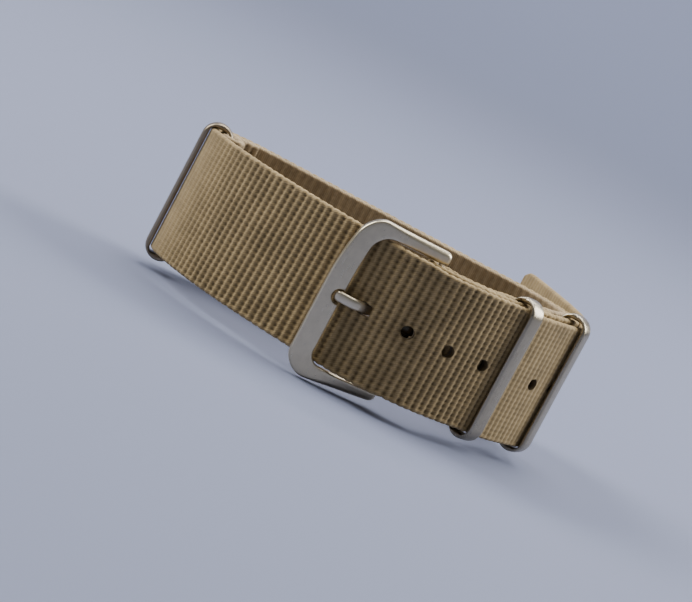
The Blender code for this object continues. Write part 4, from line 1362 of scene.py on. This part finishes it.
@dataclass
class BuckleFrame:
    """The bent steel U with its notch: a flat far bar and arms that grow round."""

    plan: StrapPlan
    steel: bpy.types.Material
    far_bar: float = 0.00308
    thickness: float = 0.0016
    top: float = 0.01242
    top_tip: float = 0.01208
    bottom: float = 0.01270
    bottom_tip: float = 0.01170
    window: float = 0.01028
    window_tip: float = 0.01012
    reach_top: float = 0.00105
    reach_bottom: float = 0.00062
    corners: Point = (0.0032, 0.0034)
    window_corners: Point = (0.0025, 0.0020)
    edge: float = 0.00034
    arm_edge: float = 0.00074
    arm_from: float = 0.0004
    arm_reach: float = 0.0052
    inner_edge_share: float = 0.65
    lean_from: float = 0.0015
    lean_radius: float = 0.034
    tip_length: float = 0.00095
    notch_radius: float = 0.00112
    notch_inset: float = 0.00030
    notch_height: float = -0.00012
    flare: float = 0.00014
    tilt: float = 0.24
    tilt_from: float = 0.0035
    tilt_reach: float = 0.004

    def lines(self) -> tuple[np.ndarray, np.ndarray]:
        """The lines between which the U runs.

        Returns:
            The inner and the outer line, from the upper tip round to the lower tip.
        """
        middle, half, counts, arc = self.plan.frame_length, self.far_bar / 2, (46, 110, 46), 22
        outside = rounded([(-self.reach_top, self.top_tip), (middle + half, self.top),
                           (middle + half, -self.bottom), (-self.reach_bottom, -self.bottom_tip)],
                          self.corners, counts, arc)
        inside = rounded([(-self.reach_top, self.window_tip), (middle - half, self.window),
                          (middle - half, -self.window), (-self.reach_bottom, -self.window_tip)],
                         self.window_corners, counts, arc)
        for line in (outside, inside):
            lean = np.clip(line[:, 1] - self.lean_from, 0.0, None) ** 2 / (2 * self.lean_radius)
            line[:, 0] -= lean * np.clip(line[:, 0] / (middle + half), 0.0, 1.0) ** 2
        return inside, outside

    def edges(self, outside: np.ndarray) -> np.ndarray:
        """The edge rounding of each section: small on the far bar, large on the arms."""
        share = np.clip((self.plan.frame_length - self.arm_from - outside[:, 0]) / self.arm_reach, 0.0, 1.0)
        return self.edge + (self.arm_edge - self.edge) * eased(share)

    def notch(self) -> bpy.types.Mesh:
        """The spun cutter of the notch.

        Returns:
            A round plug that is flared at both faces of the far bar.
        """
        r, h, k = self.notch_radius, self.thickness / 2, self.flare
        upper = [(0.0, h + k), (r + k, h + k)]
        upper += [(r + k * (1.0 - math.sin(a)), h - k * (1.0 - math.cos(a)))
                  for a in np.radians(np.linspace(0.0, 90.0, 6))]
        profile = upper + [(x, -z) for x, z in reversed(upper)]
        at = self.plan.frame_length - self.far_bar / 2 + self.notch_inset
        mesh = spun(profile, (at, self.notch_height), 0.0, 64, "notch")
        close_up(mesh)
        return mesh

    def build(self) -> None:
        """Builds the frame: the swept U, the notch, the lower arm's lean and the gentle bend."""
        inside, outside = self.lines()
        bar = Sweep(inside, outside, self.thickness / 2, self.edges(outside), taper=self.tip_length,
                    inner_share=self.inner_edge_share)
        mesh = bar.mesh("buckle_frame_steel")
        close_up(mesh)
        mesh = cut(mesh, self.notch())
        u, height, w = coordinates(mesh).T
        share = np.clip((self.plan.frame_length - self.tilt_from - u) / self.tilt_reach, 0.0, 1.0)
        w = w - self.tilt * share * np.clip(-self.window - height, 0.0, None)
        move(mesh, *self.plan.frame_place(u, w), self.plan.middle + height)
        close_up(mesh, 5e-7)
        place(mesh, "frame_steel", Body.FRAME, self.steel, Slot.STEEL, ("buckle_frame",))


@dataclass
class Tongue:
    """The prong, wrapped round the spring bar."""

    plan: StrapPlan
    steel: bpy.types.Material
    width: float = 0.00156
    thickness: float = 0.0008
    edge: float = 0.00038
    barrel: float = 0.00075
    clearance: float = 0.00008
    wrap: float = math.radians(265.0)
    marks: tuple[Mark, ...] = ((-0.5467, -0.2948, 222.0), (-0.6820, -0.3905, 190.0),
                               (-0.8880, -0.3545, 155.0))
    tip: float = 0.0008
    tip_thickness: float = 0.35
    tip_width: float = 0.25
    start_length: float = 0.0003
    # Painted shade on the wrap round the spring bar: the steel is darkest there and brightens to full along
    # the prong.
    painted_shade_level: float = 0.12
    shade_to: float = 0.0066
    light_from: float = 0.0095

    def route(self) -> Route:
        """The prong's middle line.

        Returns:
            The route from the wrap's free end to the tip.
        """
        plan = self.plan
        radius = self.barrel + self.clearance + self.thickness / 2
        angles = math.radians(-90.0) + self.wrap * (1.0 - np.linspace(0.0, 1.0, 60))
        wrap = [plan.bar + unit(a) * radius for a in angles]
        places = [(wrap[-1], Vector((-1.0, 0.0)))] + [plan.frame_pose(*mark) for mark in self.marks]
        return Route(wrap + chain(places))

    def build(self) -> None:
        """Builds the prong as one swept bar with a rounded tip."""
        route = self.route()
        tip_marks = route.length - self.tip * (1.0 - np.sin(np.linspace(0.05, math.pi / 2, 12)))
        marks = np.concatenate([np.linspace(0.0, route.length - self.tip, 150), tip_marks])
        a, b, r = self.thickness / 2, self.width / 2, self.edge
        angles = np.linspace(0.0, math.tau, 33)[:-1]
        c, s = np.cos(angles), np.sin(angles)
        depth = np.sign(c) * (a - r) + r * c
        height = np.sign(s) * (b - r) + r * s
        mesh, column, row = tube(len(marks) - 1, len(angles), "tongue")
        at = marks[column]
        narrow = dome(route.length - at, self.tip)
        slim = dome(at, self.start_length, 0.02)
        point, _, normal = route.read(at)
        out = depth[row] * (self.tip_thickness + (1.0 - self.tip_thickness) * narrow) * slim
        rise = height[row] * (self.tip_width + (1.0 - self.tip_width) * narrow) * slim
        move(mesh, point + normal * out[:, None], self.plan.middle + rise)
        # Stores the painted shade along the prong.
        store(mesh, "clean", np.interp(at, (self.shade_to, self.light_from), (self.painted_shade_level, 1.0)))
        close_up(mesh)
        place(mesh, "tongue_steel", Body.TONGUE, self.steel, Slot.STEEL, ("buckle_tongue",))


@dataclass
class KeeperRing:
    """One steel ring bent from flat strip with a domed outer face."""

    plan: StrapPlan
    steel: bpy.types.Material
    name: str
    node: str
    body: Body
    centre: Vector
    way: Vector
    normal: Vector
    height: float = 0.0224
    drop: float = 0.0
    corner: float = 0.0024
    inner_corner: float = 0.0006
    edge: float = 0.00040
    dome: float = 0.00010

    def line(self, room: float, height: float, radius: float) -> np.ndarray:
        """One closed line of the ring, as depth and height.

        Args:
            room: half its depth.
            height: half its height.
            radius: its corner radius.

        Returns:
            The points in order.
        """
        sx, sy, c, s = box_section(15, 5)
        return np.column_stack([sx * (room - radius) + radius * c, sy * (height - radius) + radius * s])

    def build(self) -> None:
        """Sweeps the domed strip round the ring."""
        room, thick = self.plan.ring_room / 2, self.plan.ring_thickness
        outer = self.line(room + thick, self.height / 2, self.corner)
        inner = self.line(room, self.height / 2 - thick, self.inner_corner)
        strip = Sweep(inner, outer, self.plan.ring_strip / 2, self.edge, closed=True, dome=self.dome,
                      flat_points=5)
        mesh = strip.mesh(self.name)
        depth, rise, across = coordinates(mesh).T
        c, w, n = (np.array(v) for v in (self.centre, self.way, self.normal))
        move(mesh, c[None, :] + n[None, :] * depth[:, None] + w[None, :] * across[:, None],
             self.plan.middle - self.drop + rise)
        close_up(mesh)
        place(mesh, self.name, self.body, self.steel, Slot.STEEL, (self.node,), sharp=60.0)


@dataclass
class Keepers:
    """The three rings where the plan has them."""

    plan: StrapPlan
    steel: bpy.types.Material
    # The darker copy of the ring steel that paints shade on the left ring.
    shaded_left_steel: bpy.types.Material
    left_drop: float = 0.00015

    def build(self) -> None:
        """Builds the front, side and left rings."""
        plan = self.plan
        room = plan.ring_room / 2
        beside = plan.half_web + plan.ring_clearance - room
        in_fold = plan.layer_step + plan.fold_pocket_clearance + plan.half_web - room
        for where, body, at, depth, steel, drop in (
                ("front", Body.FRONT_KEEPER, plan.front_on_loop, beside, self.steel, 0.0),
                ("side", Body.SIDE_KEEPER, plan.side_on_loop, beside, self.steel, 0.0),
                ("left", Body.LEFT_KEEPER, plan.left_on_loop, in_fold, self.shaded_left_steel, self.left_drop)):
            point, way, normal = plan.loop.frame(at)
            KeeperRing(plan, steel, "ring_" + where, "keeper_" + where, body, point + normal * depth, way,
                       normal, drop=drop).build()


@dataclass
class SpringBar:
    """The barrel, the two tips and the spring."""

    plan: StrapPlan
    steel: bpy.types.Material
    spring: bpy.types.Material
    radius: float = 0.00075
    bore: float = 0.0005
    half: float = 0.0086
    travel: float = 0.0009
    clearance: float = 0.00006
    collar: float = 0.000675
    collar_length: float = 0.00035
    pin: float = 0.0004
    pin_end: float = 0.0111
    shank: float = 0.0032
    tube_chamfer: float = 0.0001
    collar_chamfer: float = 0.00006
    pin_chamfer: float = 0.00012
    # Painted shade on the middle of the barrel, which sits in the fold of the webbing: darkest there, full
    # towards the ends.
    painted_shade_level: float = 0.1
    shade_to: float = 0.0020
    light_from: float = 0.0030

    def turn(self, profile: list[Point], name: str, body: Body, node: str, closed: bool = False) -> None:
        """Turns a profile about the bar's axis into a piece.

        Args:
            profile: radius and height points.
            name: the piece's name.
            body: the body it rides on.
            node: the CAD node it replaces.
            closed: whether the profile closes on itself.
        """
        mesh = spun(profile, self.plan.bar, self.plan.middle, 40, name, closed)
        away = np.abs(coordinates(mesh)[:, 2] - self.plan.middle)
        # Stores the painted shade along the bar.
        store(mesh, "clean", np.interp(away, (self.shade_to, self.light_from), (self.painted_shade_level, 1.0)))
        close_up(mesh)
        place(mesh, name, body, self.steel, Slot.PIN, (node,), sharp=30.0)

    def coil(self, name: str, side: int) -> None:
        """Makes half of the spring a piece that rides on the strap.

        Args:
            name: the piece's name.
            side: 1 for the upper half, -1 for the lower.
        """
        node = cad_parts["bar_spring"]
        middle = (self.plan.bar.x, self.plan.bar.y, self.plan.middle)
        bm = bmesh.new()
        bm.from_mesh(node.data)
        bmesh.ops.transform(bm, verts=bm.verts, matrix=node.matrix_world)
        bmesh.ops.bisect_plane(bm, geom=bm.verts[:] + bm.edges[:] + bm.faces[:], plane_co=middle,
                               plane_no=(0.0, 0.0, side), clear_inner=True)
        bmesh.ops.holes_fill(bm, edges=[e for e in bm.edges if e.is_boundary], sides=0)
        mesh = as_mesh(bm, name)
        close_up(mesh)
        piece = place(mesh, name, Body.STRAP, self.spring, Slot.SPRING, ("bar_spring",))
        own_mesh(piece)

    def build(self) -> None:
        """Builds the barrel, the tips and the spring."""
        r, h, bevel = self.radius, self.half, self.tube_chamfer
        # The extra points along the barrel carry its painted shade.
        tube_profile = [(self.bore, -h), (r - bevel, -h), (r, -h + bevel), (r, -self.light_from),
                        (r, -self.shade_to), (r, self.shade_to), (r, self.light_from), (r, h - bevel),
                        (r - bevel, h), (self.bore, h)]
        self.turn(tube_profile, "barrel_tube", Body.STRAP, "bar_barrel", closed=True)
        low = h + self.travel + self.clearance
        high = low + self.collar_length
        shank, bevel = self.bore - self.clearance, self.collar_chamfer
        profile = [(0.0, h - self.shank), (shank, h - self.shank), (shank, low), (self.collar - bevel, low),
                   (self.collar, low + bevel), (self.collar, high - bevel), (self.collar - bevel, high),
                   (self.pin, high), (self.pin, self.pin_end - self.pin_chamfer),
                   (self.pin - self.pin_chamfer, self.pin_end), (0.0, self.pin_end)]
        for where, side, body in (("upper", 1, Body.TIP_UPPER), ("lower", -1, Body.TIP_LOWER)):
            self.turn([(x, side * z) for x, z in profile], "tip_pin_" + where, body, "bar_tip_" + where)
            self.coil("spring_" + where, side)


@dataclass
class Seams:
    """The rows of stitching, each as a dense bar of thread on both sides."""

    plan: StrapPlan
    thread: bpy.types.Material
    radius: float = 0.00011
    count: int = 24
    lean: float = 0.0007
    half_row: float = 0.0085
    clear: float = 0.00002
    sink: float = 0.00012
    bulge: float = 0.00022

    def stitch(self, bm: bmesh.types.BMesh, start: Vector, end: Vector, rise: Vector) -> None:
        """Adds one thread stroke that bulges out of the cloth between two points.

        Args:
            bm: receives the stroke.
            start: where it leaves the cloth.
            end: where it goes back in.
            rise: how it bulges at its middle.
        """
        line = end - start
        side = line.cross(rise.normalized()).normalized()
        made = bmesh.ops.create_circle(bm, cap_ends=True, cap_tris=False, segments=6, radius=self.radius)
        face = made["verts"][0].link_faces[0]
        shape = [(v, v.co.x, v.co.y) for v in face.verts]
        for step in range(8):
            t = step / 7
            along = (line + rise * (math.pi * math.cos(math.pi * t))).normalized()
            up = side.cross(along)
            if step:
                face = bmesh.ops.extrude_discrete_faces(bm, faces=[face])["faces"][0]
                shape = [(v, x, y) for v, (_, x, y) in zip(face.verts, shape)]
            for vert, x, y in shape:
                vert.co = start + line * t + rise * math.sin(math.pi * t) + side * x + up * y

    def row(self, name: str, node: str, s: float, outer: float, inner: float) -> None:
        """Builds one bar of stitching.

        Args:
            name: the piece's name.
            node: the CAD node it replaces.
            s: its length on the loop.
            outer: the outer face's depth.
            inner: the inner face's depth.
        """
        point, way, normal = (v.to_3d() for v in self.plan.loop.frame(s))
        bm = bmesh.new()
        heights = np.linspace(-self.half_row, self.half_row, self.count + 1)
        for depth, out in ((outer, -1.0), (inner, 1.0)):
            base = point + Vector((0.0, 0.0, self.plan.middle)) + normal * (depth + out * self.clear)
            sunk = normal * out * self.sink
            for i in range(self.count):
                lean = way * (self.lean / 2 if i % 2 else -self.lean / 2)
                start = base - lean + Vector((0.0, 0.0, heights[i]))
                end = base + lean + Vector((0.0, 0.0, heights[i + 1]))
                self.stitch(bm, start - sunk, end - sunk, normal * out * self.bulge)
        place(as_mesh(bm, name), name, Body.STRAP, self.thread, Slot.THREAD, (node,), sharp=60.0)

    def build(self) -> None:
        """Builds the four rows."""
        plan = self.plan
        half = plan.half_web
        for where, s, outer, inner in (
                ("buckle", plan.seam_buckle, 0.0, plan.return_depth(plan.seam_buckle)),
                ("middle", plan.seam_middle, 0.0, plan.short_depth(plan.seam_middle)),
                ("side", plan.seam_side, 0.0, plan.short_depth(plan.seam_side)),
                ("left", plan.seam_left, plan.short_depth(plan.seam_left), plan.flap_depth(plan.seam_left))):
            self.row("stitch_" + where, "tack_" + where, s, outer - half, inner + half)


# Studio


@dataclass(frozen=True)
class Lamp:
    """A soft area light: where it stands, its width and height, its power in watts and its colour."""

    name: str
    at: Mark
    size: Point
    power: float
    colour: Colour

    def build(self, target: Vector) -> None:
        """Adds the light.

        Args:
            target: what it is aimed at.
        """
        data = bpy.data.lights.new(self.name, 'AREA')
        data.shape = 'RECTANGLE'
        data.size, data.size_y = self.size
        data.energy = self.power
        data.color = self.colour
        made = link(self.name, data)
        made.location = self.at
        made.rotation_euler = (target - made.location).to_track_quat('-Z', 'Y').to_euler()


@dataclass
class Studio:
    """The floor, the lights and the camera at the photograph's angle."""

    plan: StrapPlan
    focal_pixels: float = 3047.4
    picture_width: float = 692.0
    sensor: float = 36.0
    distance: float = 0.420
    rise: float = 0.0524
    pitch: float = math.radians(7.19)
    roll: float = math.radians(28.02)
    floor_half: float = 4.0
    floor_drop: float = 0.0002
    curve_from: float = 1.2
    curve_radius: float = 1.5
    wall_top: float = 6.0
    aim_behind_bar: float = 0.01
    lamps: tuple[Lamp, ...] = (Lamp("top", (0.0, 0.08, 0.85), (0.6, 0.7), 8.4, (1.0, 0.985, 0.955)),
                               Lamp("left", (-0.70, 0.08, 0.52), (0.5, 0.5), 10.0, (1.0, 0.985, 0.94)),
                               Lamp("right", (0.66, 0.26, 0.46), (0.5, 0.5), 9.5, (1.0, 0.985, 0.94)))
    backdrop: Lamp = Lamp("backdrop", (0.2, 1.5, 1.5), (1.6, 0.8), 44.0, (1.0, 1.0, 1.0))
    backdrop_aim: Mark = (0.2, 2.2, 0.0)
    sky: tuple[float, ...] = (0.95, 0.97, 1.0, 1.0)
    sky_strength: float = 0.19

    def floor(self) -> None:
        """A pale floor that curves up far behind the strap."""
        radius, x = self.curve_radius, -self.floor_half
        line = [(x, 0.0), (self.curve_from, 0.0)]
        line += [(self.curve_from + radius * math.sin(a), radius - radius * math.cos(a))
                 for a in np.radians(np.linspace(6.0, 84.0, 14))]
        line.append((self.curve_from + radius, self.wall_top))
        bm = bmesh.new()
        verts = [bm.verts.new((x, y, z - self.floor_drop)) for y, z in line]
        edges = [bm.edges.new(pair) for pair in zip(verts, verts[1:])]
        swept = bmesh.ops.extrude_edge_only(bm, edges=edges)
        bmesh.ops.translate(bm, verts=[v for v in swept["geom"] if isinstance(v, bmesh.types.BMVert)],
                            vec=(2 * self.floor_half, 0.0, 0.0))
        bmesh.ops.recalc_face_normals(bm, faces=bm.faces)
        mesh = as_mesh(bm, "floor")
        mesh.materials.append(FloorFinish().make())
        mesh.shade_smooth()
        made = link("studio_floor", mesh)

    def camera(self) -> None:
        """The camera, with the photograph's lens, place, pitch and roll."""
        data = bpy.data.cameras.new("camera")
        data.sensor_width = self.sensor
        data.lens = self.focal_pixels * self.sensor / self.picture_width
        data.clip_start = 0.01
        data.clip_end = 20.0
        made = link("camera", data)
        home = self.plan.home
        made.location = (home.x, home.y - self.distance, self.plan.middle + self.rise)
        turn = Matrix.Rotation(math.pi / 2 - self.pitch, 4, 'X') @ Matrix.Rotation(self.roll, 4, 'Z')
        made.rotation_euler = turn.to_euler()
        bpy.context.scene.camera = made

    def build(self) -> None:
        """Builds the studio round the strap."""
        self.floor()
        self.camera()
        target = Vector((self.plan.bar.x, self.plan.bar.y + self.aim_behind_bar, self.plan.middle))
        for lamp in self.lamps:
            lamp.build(target)
        self.backdrop.build(Vector(self.backdrop_aim))
        world = bpy.data.worlds.new("studio")
        world.use_nodes = True
        back = world.node_tree.nodes["Background"]
        back.inputs["Color"].default_value = self.sky
        back.inputs["Strength"].default_value = self.sky_strength
        bpy.context.scene.world = world


def write_sizes() -> None:
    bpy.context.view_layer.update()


def main() -> None:
    """Builds every part of the strap and the studio."""
    logging.basicConfig(level=logging.INFO, format="%(name)s %(message)s")
    low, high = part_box("bar_barrel")
    centre = (low + high) / 2
    plan = StrapPlan(Vector((centre.x, centre.y)), centre.z)
    nylon = NylonFinish("tan_nylon").make()
    # A copy of the tan nylon for the short strap, its colours tuned to the loop's shaded inside: painted
    # shade.
    shade_tuned_lining = NylonFinish("inner_nylon", crest=(0.405, 0.306, 0.184), groove=(0.290, 0.214, 0.124),
                         pit=(0.150, 0.109, 0.060)).make()
    steel = SteelFinish("satin_steel").make()
    # The prong's steel reads its painted shade from the piece.
    prong_steel = SteelFinish("prong_steel", shade="clean").make()
    ring_steel = SteelFinish("ring_steel", tint=(0.366, 0.324, 0.250), roughness=0.30).make()
    # A darker copy of the ring steel for the left ring: painted shade.
    shaded_left_steel = SteelFinish("shaded_left_ring_steel", tint=(0.315, 0.262, 0.190), roughness=0.36).make()
    # The turned steel reads its painted shade from the barrel and the tips.
    pin_steel = SteelFinish("turned_steel", tint=(0.62, 0.61, 0.59), roughness=0.24,
                            grain=(90.0, 90.0, 1400.0), shade="clean").make()
    wire = SteelFinish("spring_wire", tint=(0.42, 0.42, 0.43), roughness=0.35).make()
    thread = ThreadFinish("tack_thread").make()
    Studio(plan).build()
    Straps(plan, nylon, shade_tuned_lining).build()
    Seams(plan, thread).build()
    BuckleFrame(plan, steel).build()
    Tongue(plan, prong_steel).build()
    Keepers(plan, ring_steel, shaded_left_steel).build()
    SpringBar(plan, pin_steel, wire).build()
    write_sizes()


if __name__ == "__main__":
    main()
